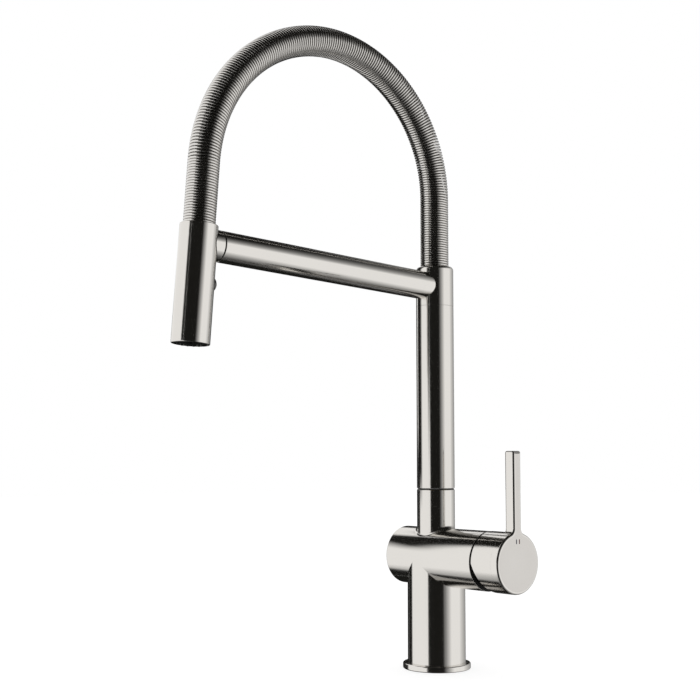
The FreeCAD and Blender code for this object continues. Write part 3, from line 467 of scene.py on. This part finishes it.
foot = {"radius": 28.1, "height": 4.8, "round": 1.0, "bore": 20.05,
        "grooveIn": 22.5, "grooveOut": 25.5, "groove": 1.5}
flange = turned("flange", columnAxis, [
    (foot["bore"], 0), (foot["grooveIn"], 0), (foot["grooveIn"], foot["groove"]),
    (foot["grooveOut"], foot["groove"]), (foot["grooveOut"], 0), (foot["radius"], 0, foot["round"]),
    (foot["radius"], foot["height"], foot["round"]), (foot["bore"], foot["height"])])
settle(flange, "body", "steel", "base_flange")

body = {"stem": 24.05, "barrel": 24.0, "neck": 15.9, "top": 147.1, "footRadius": 20.0, "left": -36.2,
        "right": 61.65, "leftRound": 0.8, "rimRound": 0.25, "neckRound": 0.25, "neckRoot": 1.0,
        "nutBore": 20.5, "nutSeat": 50.0, "bore": 17.5, "floor": 33.0, "paintedShadeDepth": 0.1,
        "inlet": 4.5, "inletDepth": 14.0, "inletSpread": 9.0,
        "stud": 3.4, "studDepth": 16.0, "studOffset": 11.5}
fillet = {"ball": 3.2, "sink": 0.02, "rootIn": 2.0, "rootDown": 3.0}


def neckFillet():
    # a ring whose outer side is the path of a ball that rolls round the neck's foot, touching neck and barrel
    shell = Shell()
    steps, arcSteps = fineness["round"], fineness["fillet"]
    ball, middle = fillet["ball"], tap["barrelHeight"]
    neck, barrel = body["neck"] - fillet["sink"], body["barrel"] - fillet["sink"]
    normals = []
    for turn in roundAngles(steps):
        angle = turn + math.pi / steps  # half way between the neck's own corners
        out = Vector((math.cos(angle), math.sin(angle), 0))
        centre = out * (neck + ball)
        up = Vector((0, centre.y, math.sqrt((barrel + ball) ** 2 - centre.y ** 2))) / (barrel + ball)
        centre.z = middle + up.z * (barrel + ball)
        swing = out.angle(up)
        for step in range(arcSteps + 1):
            share = step / arcSteps
            normal = (out * math.sin(swing * (1 - share)) + up * math.sin(swing * share)) / math.sin(swing)
            normals.append(normal)
            shell.points.append((centre - normal * ball) * mm)
        deep = out * (neck - fillet["rootIn"])
        deep.z = middle + math.sqrt(barrel ** 2 - deep.y ** 2) - fillet["rootDown"]
        normals.append(-out)
        shell.points.append(deep * mm)
    count = arcSteps + 2
    for here in range(steps):
        there = (here + 1) % steps
        for low in range(count):
            high = (low + 1) % count
            corners = [here * count + low, here * count + high, there * count + high, there * count + low]
            shell.addFace(corners, [normals[corner] for corner in corners])
    return shell


def footHole(x, y, radius, depth):
    return drill(Matrix.Translation((x * mm, y * mm, 0)), radius, -overCut, depth)


def mixerBody():
    middle = tap["barrelHeight"]
    neckFoot = middle - body["neckRoot"]
    pastRight = body["right"] + overCut
    stem = turnedShell(columnAxis, [
        (0, 0), (body["footRadius"], 0), (body["footRadius"], foot["height"]), (body["stem"], foot["height"]),
        (body["stem"], middle), (0, middle)], closed=False)
    neck = turnedShell(columnAxis, [
        (0, neckFoot), (body["neck"], neckFoot), (body["neck"], body["top"], body["neckRound"]),
        (0, body["top"])], closed=False)
    barrel = turnedShell(barrelAxis, [
        (0, body["left"]), (body["barrel"], body["left"], body["leftRound"]),
        (body["barrel"], body["right"], body["rimRound"]), (0, body["right"])], closed=False)
    hollow = turnedShell(barrelAxis, [
        (0, body["floor"]), (body["bore"], body["floor"]), (body["bore"], body["nutSeat"]),
        (body["nutBore"], body["nutSeat"]), (body["nutBore"], pastRight), (0, pastRight)], closed=False)
    holes = [footHole(0, side * body["inletSpread"], body["inlet"], body["inletDepth"]) for side in (-1, 1)]
    holes.append(footHole(-body["studOffset"], 0, body["stud"], body["studDepth"]))
    return carve("mixerBody", [stem, barrel, neck, neckFillet()], [hollow] + holes)


def paintedShadeOnBarrelEnd(face):
    # the barrel's end behind the handle, painted black as the shade that falls there
    return face.normal.x > close["nearSquare"] and face.center.x > (body["right"] - body["paintedShadeDepth"]) * mm


bodyPiece = settle(mixerBody(), "body", "steel", "mixer_body")
# painted shade: the barrel's steel end is painted near-black
refinish(bodyPiece, "paintedShadeBlack", paintedShadeOnBarrelEnd)
print("foot and body turned")


# Handle: a round face with a lever that grows out of it, on a cap that is cut away underneath

handle = {"radius": 24.15, "back": 63.7, "face": 92.0, "frontRound": 2.1, "leverDepth": 9.9,
          "leverWidth": 9.1, "leverTop": 88.0, "leverRound": 1.4, "blend": 4.5, "wall": 1.7, "wedge": 20.0,
          "backRound": 2.2, "overlap": 2.5, "ease": 0.015, "plugHole": 2.65}


def arcPoints(centre, radius, fromAngle, toAngle, steps, outward):
    # (across, up, normal) along an arc; outward is -1 where the material is outside it
    points = []
    for step in range(steps + 1):
        angle = math.radians(fromAngle + (toAngle - fromAngle) * step / steps)
        way = (math.cos(angle), math.sin(angle))
        points.append((centre[0] + radius * way[0], centre[1] + radius * way[1],
                       (way[0] * outward, way[1] * outward)))
    return points


def handleOutline():
    half = handle["leverWidth"] / 2
    reach = handle["radius"] + handle["blend"]
    across = half + handle["blend"]
    up = math.sqrt(reach ** 2 - across ** 2)
    touch = math.degrees(math.atan2(up, across))
    corner = half - handle["leverRound"]
    top = handle["leverTop"] - handle["leverRound"]
    # round the disc from the lever's left foot to its right one, up the lever and back down
    points = arcPoints((0, 0), handle["radius"], 180 - touch - 360, touch, fineness["disc"], 1)
    points += arcPoints((across, up), handle["blend"], touch - 180, -180, fineness["blend"], -1)
    points += arcPoints((corner, top), handle["leverRound"], 0, 90, fineness["tip"], 1)
    points += arcPoints((-corner, top), handle["leverRound"], 90, 180, fineness["tip"], 1)
    points += arcPoints((-across, up), handle["blend"], 0, -touch, fineness["blend"], -1)
    kept = []
    for point in points:
        if not kept or math.dist(point[:2], kept[-1][:2]) > close["outline"]:
            kept.append(point)
    return kept[:-1]  # the last point is the first again


def addOutlineRing(shell, outline, inset, place):
    start = len(shell.points)
    for across, up, normal in outline:
        point = Vector((up - normal[1] * inset, -(across - normal[0] * inset), place))
        shell.points.append(barrelAxis @ (point * mm))
    return start


def edgeBand(shell, outline, levels):
    # levels: (inset, place, lean), from the back of the band to its front
    turnMatrix = barrelAxis.to_3x3()
    rings = [addOutlineRing(shell, outline, inset, place) for inset, place, lean in levels]
    count = len(outline)
    for low in range(len(levels) - 1):
        for here in range(count):
            there = (here + 1) % count
            corners, normals = [], []
            for row, column in ((low, here), (low, there), (low + 1, there), (low + 1, here)):
                lean = levels[row][2]
                flat = outline[column][2]
                corners.append(rings[row] + column)
                normals.append(turnMatrix @ Vector((flat[1] * math.cos(lean), -flat[0] * math.cos(lean),
                                                    math.sin(lean))))
            shell.addFace(corners, normals)
    return rings


def capOutline(shell, rings, count):
    # close a band at its front and at its back
    shell.addFace([rings[-1] + index for index in range(count)], [sideways] * count)
    shell.addFace([rings[0] + index for index in reversed(range(count))], [-sideways] * count)


def wedgeBack(x, y):
    return handle["back"] + max(-x, 0) * math.tan(math.radians(handle["wedge"]))


def handlePlate():
    shell = Shell()
    outline = handleOutline()
    faceAt, rounding, backRound = handle["face"], handle["frontRound"], handle["backRound"]
    backAt = faceAt - handle["leverDepth"]
    steps = fineness["corner"]
    levels = []
    for step in range(steps + 1):
        lean = math.pi / 2 * (step / steps - 1)
        levels.append((backRound * (1 - math.cos(lean)), backAt + backRound * (1 + math.sin(lean)), lean))
    for step in range(steps + 1):
        lean = math.pi / 2 * step / steps
        levels.append((rounding * (1 - math.cos(lean)), faceAt - rounding * (1 - math.sin(lean)), lean))
    capOutline(shell, edgeBand(shell, outline, levels), len(outline))
    return shell


def handlePiece():
    inner = handle["radius"] - handle["wall"]
    capTop = handle["face"] - handle["leverDepth"] + handle["overlap"]
    outer = handle["radius"] + handle["ease"]  # so that the cap's side doesn't lie in the plate's
    cap = turnedShell(barrelAxis, [
        (inner, handle["back"], 0, wedgeBack), (outer, handle["back"], 0, wedgeBack),
        (outer, capTop), (inner, capTop)])
    plugHole = drill(plugAxis, handle["plugHole"], inner - 2 * overCut, handle["radius"] + 2 * overCut)
    return carve("handle", [handlePlate(), cap], [plugHole])


front = settle(handlePiece(), "handle", "steel", "handle")
refinish(front, "faceSteel", facesFront)

mark = {"width": 1.05, "height": 3.8, "spacing": 3.4, "aside": -0.3, "lift": 17.2,
        "proud": 0.04, "depth": 0.3}


def handleMark(name, side):
    # a short filled stroke with round ends, just proud of the face
    shell = Shell()
    radius = mark["width"] / 2
    straight = mark["height"] / 2 - radius
    across = mark["aside"] + side * mark["spacing"] / 2
    outline = []
    for centre, begin in ((straight, 0), (-straight, 180)):
        middle = (across, mark["lift"] + centre)
        outline += arcPoints(middle, radius, begin, begin + 180, fineness["blend"], 1)
    top = handle["face"] + mark["proud"]
    rings = edgeBand(shell, outline, [(0, top - mark["depth"], 0), (0, top, 0)])
    capOutline(shell, rings, len(outline))
    return shell.build(name)


settle(handleMark("coldMark", -1), "handle", "cold_blue", "cold_mark")
settle(handleMark("hotMark", 1), "handle", "hot_red", "hot_mark")
print("handle made")


# Column, collar and arm

column = {"radius": 15.85, "wall": 1.95, "foot": 148.5, "seam": 302.0, "seamGap": 0.05, "edge": 0.15,
          "top": 335.8, "topRound": 3.0, "lipBore": 12.07, "lip": 1.6, "lipRound": 0.25, "bore": 12.75,
          "web": 312.5, "sleeve": 12.0, "sleeveGap": 0.05}
inside = column["radius"] - column["wall"]
tubeTop = column["seam"] - column["seamGap"]
tube = turned("columnTube", columnAxis, [
    (inside, column["foot"]), (column["radius"], column["foot"], column["edge"]),
    (column["radius"], tubeTop, column["edge"]), (inside, tubeTop)])
settle(tube, "column", "steel", "column_tube")

sleeve, sleeveFoot = inside - column["sleeveGap"], column["seam"] - column["sleeve"]
underLip = column["top"] - column["lip"]
collar = turned("columnCollar", columnAxis, [
    (0, sleeveFoot), (sleeve, sleeveFoot), (sleeve, column["seam"]),
    (column["radius"], column["seam"], column["edge"]), (column["radius"], column["top"], column["topRound"]),
    (column["lipBore"], column["top"], column["lipRound"]), (column["lipBore"], underLip),
    (column["bore"], underLip), (column["bore"], column["web"]), (0, column["web"])], closed=False)
settle(collar, "column", "steel", "column_collar")

arm = {"radius": 11.9, "wall": 1.75, "rootIn": 12.0, "rootOut": 10.0, "seam": 222.4, "seamGap": 1.0,
       "edge": 0.25, "sink": 0.1, "screwHole": 2.05, "plug": 14.0, "plugGap": 0.05,
       "saddle": 14.6, "lipOut": 9.0, "lipIn": 14.0, "rings": (0.8, 0.6, 0.4, 0.2, 0)}


def onColumn(x, y):
    # where the arm's root meets the column's round side
    reach = math.sqrt(column["radius"] ** 2 - x ** 2) - arm["sink"]
    return (reach + y * math.sin(armAngle)) / math.cos(armAngle)


def onHead(x, y):
    # where the cradle's end meets the head's round side
    lean = armAngle - headAngle
    return tap["armReach"] - (math.sqrt(arm["saddle"] ** 2 - x ** 2) - y * math.sin(lean)) / math.cos(lean)


armBore = arm["radius"] - arm["wall"]
armShell = turnedShell(armAxis, [
    (armBore, arm["rootIn"], 0, onColumn), (arm["radius"], arm["rootOut"], 0, onColumn),
    (arm["radius"], arm["seam"], arm["edge"]), (armBore, arm["seam"])])
screwHole = drill(armScrewAxis, arm["screwHole"], armBore - overCut, arm["radius"] + overCut)
armTube = carve("armTube", [armShell], [screwHole])
settle(armTube, "column", "steel", "arm_tube")
alongArm = armAxis.inverted()


def paintedSeamShade(face):
    # the faces of the gap between the tube and the cradle, which are painted black as shade
    at = alongArm @ face.center / mm
    wall = abs(at.z - arm["seam"] - arm["seamGap"] / 2) < arm["seamGap"] / 2 + close["place"]
    return wall and math.hypot(at.x, at.y) < arm["radius"] - arm["edge"]


# painted shade: the steel tube's faces in the seam are painted black
refinish(armTube, "blackPlasticAndSeamShade", paintedSeamShade)


def dockCradle():
    plugStart = arm["seam"] - arm["plug"]
    plug = armBore - arm["plugGap"]
    begin = arm["seam"] + arm["seamGap"]
    lipOut, lipIn = tap["armReach"] - arm["lipOut"], tap["armReach"] - arm["lipIn"]
    saddle = [(arm["radius"] * share, lipIn, 0, onHead) for share in arm["rings"]]
    return turned("dockCradle", armAxis, [
        (0, plugStart), (plug, plugStart), (plug, begin), (arm["radius"], begin, arm["edge"]),
        (arm["radius"], lipOut, 0, onHead)] + saddle, closed=False)


cradle = settle(dockCradle(), "column", "steel", "dock_cradle")
# painted shade: the steel cradle's faces in the seam are painted black
refinish(cradle, "blackPlasticAndSeamShade", paintedSeamShade)
print("column and arm turned")


# Spray head

head = {"radius": 14.25, "bore": 13.05, "low": -74.8, "high": 13.3, "round": 0.7, "lipBore": 12.07,
        "lip": 2.0, "buttonHole": 5.55, "holeFrom": 5.0}
headLip = head["high"] - head["lip"]
headTube = turnedShell(headAxis, [
    (head["bore"], head["low"]), (head["radius"], head["low"], head["round"]),
    (head["radius"], head["high"], head["round"]), (head["lipBore"], head["high"]),
    (head["lipBore"], headLip), (head["bore"], headLip)])
buttonHole = drill(buttonAxis, head["buttonHole"], head["holeFrom"], head["radius"] + 2 * overCut)
shellPiece = carve("headShell", [headTube], [buttonHole])
settle(shellPiece, "head", "steel", "head_shell")

button = {"radius": 5.2, "back": 13.35, "shoulder": 15.25, "crown": 2.3}


def sprayButton():
    ball = (button["radius"] ** 2 + button["crown"] ** 2) / (2 * button["crown"])
    centre = button["shoulder"] + button["crown"] - ball
    reach = math.degrees(math.asin(button["radius"] / ball))
    shell = Shell()
    side = sectionRuns([(0, button["back"]), (button["radius"], button["back"]),
                        (button["radius"], button["shoulder"])], closed=False)
    shell.turn(buttonAxis, side + [arcRun(centre, ball, reach, 0)], steps=fineness["button"])
    return shell.build("sprayButton")


pressed = settle(sprayButton(), "button", "steel", "spray_button")
pressed.data.materials[0] = made["darkSteel"]
print("head turned")


# Spring and hose, both along the arch in the plane x = 0, and the button's spring

arch = {"start": 328.5, "bend": 393.37, "share": 0.4715, "turn": 100.0, "stop": 7.8,
        "hoseStart": 316.4, "hoseStop": -7.0}


def archBends():
    # two bends that run into each other: centre, radius, first and last angle
    turn = math.radians(arch["turn"])
    first = arch["share"] * tap["armReach"]
    centre = Vector((0, -first, arch["bend"]))
    atJoin = Vector((0, math.cos(turn), math.sin(turn)))
    atHead = Vector((0, -math.cos(headAngle), math.sin(headAngle)))
    join = centre + atJoin * first
    second = (headCentre - join).dot(atHead) / (1 - atJoin.dot(atHead))
    return [(centre, first, 0, turn), (join - atJoin * second, second, turn, math.pi - headAngle)]


bends = archBends()


def archPlace(length, start):
    # the point on the arch, the way on and the way out from the arch's middle
    left = length - arch["bend"] + start
    if left <= 0:
        return Vector((0, 0, start + length)), Vector((0, 0, 1)), Vector((0, 1, 0))
    for centre, radius, begin, end in bends:
        angle = min(begin + left / radius, end)
        left -= (angle - begin) * radius
        if angle < end:
            break
    outward = Vector((0, math.cos(angle), math.sin(angle)))
    onward = Vector((0, -math.sin(angle), math.cos(angle)))
    return centre + outward * radius + onward * left, onward, outward


def archLength(start, stop):
    centre, radius, begin, end = bends[1]
    touch = centre + Vector((0, math.cos(end), math.sin(end))) * radius
    curved = sum(radius * (end - begin) for centre, radius, begin, end in bends)
    return arch["bend"] - start + curved + (touch - headCentre - headAlong * stop).length


def sweptMesh(name, stations):
    # stations: lists of points round the section, one list for each step along
    count = len(stations[0])
    points = [point * mm for station in stations for point in station]
    faces = []
    for row in range(len(stations) - 1):
        for here in range(count):
            there = (here + 1) % count
            low, high = row * count, (row + 1) * count
            faces.append((low + here, low + there, high + there, high + here))
    faces.append(tuple(reversed(range(count))))
    faces.append(tuple(range(len(points) - count, len(points))))
    mesh = bpy.data.meshes.new(name)
    mesh.from_pydata(points, [], faces)
    mesh.shade_smooth()
    mesh.update()
    return mesh


# roundness: the wire's outline runs between a circle (1) and a square (0)
spring = {"pitch": 2.03, "outside": 12.0, "thick": 1.7, "wide": 1.86, "stepsInTurn": 36,
          "sides": 16, "roundness": 2 / 2.4}


def wireOutline():
    points = []
    for angle in roundAngles(spring["sides"]):
        points.append(tuple(math.copysign(abs(part) ** spring["roundness"], part)
                            for part in (math.cos(angle), math.sin(angle))))
    return points


def springRuns():
    # every leg and bend of the arch with its pitch: on a bend the turns close up on the inner side
    pitch = spring["pitch"]
    runs = [(arch["bend"] - arch["start"], pitch)]
    runs += [(radius * (end - begin), pitch * radius / (radius - spring["outside"]))
             for centre, radius, begin, end in bends]
    done = sum(length for length, rise in runs)
    return runs + [(archLength(arch["start"], arch["stop"]) - done, pitch)]


def lengthAfter(turns, runs):
    passed = 0
    for length, rise in runs:
        if turns * rise <= length:
            return passed + turns * rise
        turns -= length / rise
        passed += length
    return passed


def springMesh():
    runs = springRuns()
    turns = sum(length / rise for length, rise in runs)
    steps = round(turns * spring["stepsInTurn"])
    section = [(across * spring["thick"] / 2, along * spring["wide"] / 2) for across, along in wireOutline()]
    middle = spring["outside"] - spring["thick"] / 2
    stations = []
    for step in range(steps + 1):
        wound = turns * step / steps
        centre, onward, outward = archPlace(lengthAfter(wound, runs), arch["start"])
        angle = 2 * math.pi * wound
        spoke = outward * math.cos(angle) + sideways * math.sin(angle)
        stations.append([centre + spoke * (middle + across) + onward * along for across, along in section])
    print("spring:", round(turns), "turns")
    return sweptMesh("coilSpring", stations)


hose = {"radius": 7.4, "rib": 0.12, "ribPitch": 3.0, "step": 1.0, "sides": 28}


def hoseMesh():
    total = archLength(arch["hoseStart"], arch["hoseStop"])
    steps = round(total / hose["step"])
    stations = []
    for step in range(steps + 1):
        length = total * step / steps
        centre, onward, outward = archPlace(length, arch["hoseStart"])
        radius = hose["radius"] + hose["rib"] * math.cos(2 * math.pi * length / hose["ribPitch"])
        stations.append([centre + (outward * math.cos(a) - sideways * math.sin(a)) * radius
                         for a in roundAngles(hose["sides"])])
    return sweptMesh("sprayHose", stations)


# pressed: the share of its length that is left when the button is in
returnSpring = {"reach": 2.2, "wire": 0.25, "turns": 4, "low": -9.25, "pitch": 1.0375,
                "stepsInTurn": 24, "sides": 10, "pressed": 0.57}


def buttonSpringMesh():
    wire, sides = returnSpring["wire"], roundAngles(returnSpring["sides"])
    stations = []
    for step in range(returnSpring["turns"] * returnSpring["stepsInTurn"] + 1):
        wound = step / returnSpring["stepsInTurn"]
        angle = 2 * math.pi * wound
        spoke = sideways * math.cos(angle) + buttonOut.cross(sideways) * math.sin(angle)
        along = returnSpring["low"] + returnSpring["pitch"] * wound
        centre = buttonPlace + spoke * returnSpring["reach"] + buttonOut * along
        stations.append([centre + (spoke * math.cos(a) - buttonOut * math.sin(a)) * wire for a in sides])
    return sweptMesh("buttonSpring", stations)


buttonSpring = addPiece("buttonSpring", buttonSpringMesh())
settle(buttonSpring, "head", "spring_steel", "button_spring")
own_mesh(buttonSpring)

for name, mesh, slotName, node in (("coilSpring", springMesh(), "spring_steel", "coil_spring"),
                                   ("sprayHose", hoseMesh(), "hose_rubber", "hose")):
    piece = addPiece(name, mesh)
    piece.data.materials.append(made[slotFinish[slotName]])
    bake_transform(piece)
    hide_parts(node)
print("spring and hose wound")


# Studio, in metres: a plain white surround, dark cloths that only the metal sees, a pale floor, the camera

studio = {
    "surround": 1.0,
    "flagShade": (0.0125, 0.0122, 0.0112, 1),
    # lines on the floor that upright cloths stand on, each from a place towards another
    "lines": {
        "right": ((0.394, -1.844), (0.774, -0.919)),
        "left": ((-0.47, -0.245), (-0.603, -0.016)),
        "back": ((0.75, 1.05), (-1.15, 0.25)),
        "column": ((-0.0954, -0.0897), (-0.1237, -0.0318)),
        "arch": ((-0.197, -0.17), (-0.2476, -0.051)),
    },
    # upright cloths: the line, then where each starts, is whole, is whole no more and ends, along it and up
    "flags": (
        ("right", (-0.05, 0.11, 1.61, 2.4), (-3, -2.5, 3, 3.5)),
        ("right", (-1.2, -1.0, 0.03, 0.33), (0.15, 0.45, 3, 3.5)),
        ("left", (0.0, 0.06, 0.31, 0.36), (-1, -0.9, 0.17, 0.21)),
        ("back", (0.14, 1.52, 1.34, 1.37), (-3, -2.5, 1.5, 2)),
        ("back", (1.31, 1.34, 1.53, 1.63), (-3, -2.5, 0.4, 0.46)),
        ("back", (1.31, 1.34, 1.53, 1.63), (0.66, 0.72, 1.5, 2)),
        ("back", (1.2, 1.3, 2.3, 2.5), (-3, -2.5, 0.44, 0.54)),
        ("column", (-0.026, 0.005, 0.066, 0.082), (0.125, 0.16, 0.6, 0.7)),
        ("arch", (-0.06, 0.0, 0.25, 0.35), (0.36, 0.4, 0.55, 0.65)),
    ),
    # level ones: whole out to one radius and gone at the next; a stop is a way, then whole up to and gone at
    "above": {
        "centre": (-0.13, -1.0, 2.0), "fade": (2.23, 6.0),
        "stops": (((-0.83, 0.56, 0), 1.53, 1.83), ((-0.83, -0.56, 0), 0.9, 1.6))},
    "below": {"centre": (-0.1, -0.06, -1.0), "fade": (0.27, 2.0), "stops": ()},
}


def squareCorners(half):
    return [(-half, -half, 0), (half, -half, 0), (half, half, 0), (-half, half, 0)]


def mathNode(tree, operation, first, second):
    worked = addNode(tree, "ShaderNodeMath", operation=operation)
    for index, given in enumerate((first, second)):
        if isinstance(given, bpy.types.NodeSocket):
            tree.links.new(given, worked.inputs[index])
        else:
            worked.inputs[index].default_value = given
    return worked.outputs[0]


def fade(tree, measured, none, full):
    return addNode(tree, "ShaderNodeMapRange",
                   {"Value": measured, "From Min": none, "From Max": full}).outputs["Result"]


def band(tree, measured, places):
    starts, whole, wholeStill, ends = places
    comes = fade(tree, measured, starts, whole)
    goes = fade(tree, measured, ends, wholeStill)
    return mathNode(tree, "MULTIPLY", comes, goes)


def darkCloth(name, corners, solidity):
    # a cloth that only reflections see; solidity works out how solid it is at each place on it
    mesh = bpy.data.meshes.new(name)
    mesh.from_pydata(corners, [], [(0, 1, 2, 3)])
    cloth = addPiece(name, mesh)
    material = bpy.data.materials.new(name)
    tree = nodeTree(material)
    solid = solidity(tree, addNode(tree, "ShaderNodeTexCoord").outputs["Object"])
    dark = addNode(tree, "ShaderNodeEmission", {"Color": studio["flagShade"], "Strength": 1.0})
    clear = addNode(tree, "ShaderNodeBsdfTransparent")
    both = addNode(tree, "ShaderNodeMixShader", {0: solid})
    tree.links.new(clear.outputs[0], both.inputs[1])
    tree.links.new(dark.outputs[0], both.inputs[2])
    addNode(tree, "ShaderNodeOutputMaterial", {"Surface": both.outputs[0]})
    mesh.materials.append(material)
    for ray in ("camera", "diffuse", "shadow", "transmission"):
        setattr(cloth, "visible_" + ray, False)
    return cloth


def uprightFlag(number, line, along, up):
    begin, end = (Vector((*place, 0)) for place in studio["lines"][line])

    def solidity(tree, place):
        parts = addNode(tree, "ShaderNodeSeparateXYZ", {"Vector": place})
        wide = band(tree, parts.outputs["X"], along)
        high = band(tree, parts.outputs["Y"], up)
        return mathNode(tree, "MULTIPLY", wide, high)

    corners = [(along[0], up[0], 0), (along[3], up[0], 0), (along[3], up[3], 0), (along[0], up[3], 0)]
    cloth = darkCloth("flag%d" % number, corners, solidity)
    way = (end - begin).normalized()
    stand = Matrix((way, (0, 0, 1), way.cross((0, 0, 1)))).transposed().to_4x4()
    stand.translation = begin
    cloth.matrix_world = stand


def levelFlag(name, flag):
    full, none = flag["fade"]
    centre = Vector(flag["centre"])

    def solidity(tree, place):
        radius = addNode(tree, "ShaderNodeVectorMath", {0: place}, operation="LENGTH").outputs["Value"]
        solid = fade(tree, radius, none, full)
        for way, last, gone in flag["stops"]:
            reach = addNode(tree, "ShaderNodeVectorMath", {0: place, 1: way}, operation="DOT_PRODUCT")
            short = centre.dot(Vector(way))  # measured from the tap, not from the cloth's middle
            solid = mathNode(tree, "MULTIPLY", solid,
                             fade(tree, reach.outputs["Value"], gone - short, last - short))
        return solid

    cloth = darkCloth(name, squareCorners(none), solidity)
    cloth.location = centre


for number, flag in enumerate(studio["flags"]):
    uprightFlag(number, *flag)
levelFlag("flagAbove", studio["above"])
levelFlag("flagBelow", studio["below"])


def studioWorld():
    world = bpy.data.worlds.new("studio")
    scene.world = world
    tree = nodeTree(world)
    sky = addNode(tree, "ShaderNodeBackground", {"Color": (1, 1, 1, 1), "Strength": studio["surround"]})
    addNode(tree, "ShaderNodeOutputWorld", {"Surface": sky.outputs["Background"]})


studioWorld()

floor = {"half": 4.0, "colour": (0.35, 0.35, 0.35, 1), "glow": 0.72, "drop": 0.0001}


def studioFloor():
    mesh = bpy.data.meshes.new("studioFloor")
    mesh.from_pydata(squareCorners(floor["half"]), [], [(0, 1, 2, 3)])
    plane = addPiece("studioFloor", mesh)
    plane.location.z = -floor["drop"]
    material = bpy.data.materials.new("paleFloor")
    tree = nodeTree(material)
    matt = addNode(tree, "ShaderNodeBsdfDiffuse", {"Color": floor["colour"]})
    glow = addNode(tree, "ShaderNodeEmission", {"Color": (1, 1, 1, 1), "Strength": floor["glow"]})
    both = addNode(tree, "ShaderNodeAddShader")
    tree.links.new(matt.outputs[0], both.inputs[0])
    tree.links.new(glow.outputs[0], both.inputs[1])
    addNode(tree, "ShaderNodeOutputMaterial", {"Surface": both.outputs[0]})
    mesh.materials.append(material)
    plane.visible_glossy = False  # the metal shows the surround, as in a shot on a stand
    plane.visible_diffuse = False


studioFloor()

# lens and sensor in millimetres
view = {"place": (0.7477, -0.7253, 0.1767), "heading": 49.85, "pitch": 4.859, "lens": 63.1, "sensor": 36.0}
camera = bpy.data.objects.new("photoCamera", bpy.data.cameras.new("photoCamera"))
camera.data.lens = view["lens"]
camera.data.sensor_width = view["sensor"]
camera.location = view["place"]
camera.rotation_euler = (math.radians(90 + view["pitch"]), 0, math.radians(view["heading"]))
scene.collection.objects.link(camera)
scene.camera = camera
scene.view_settings.view_transform = "Standard"
print("studio set")
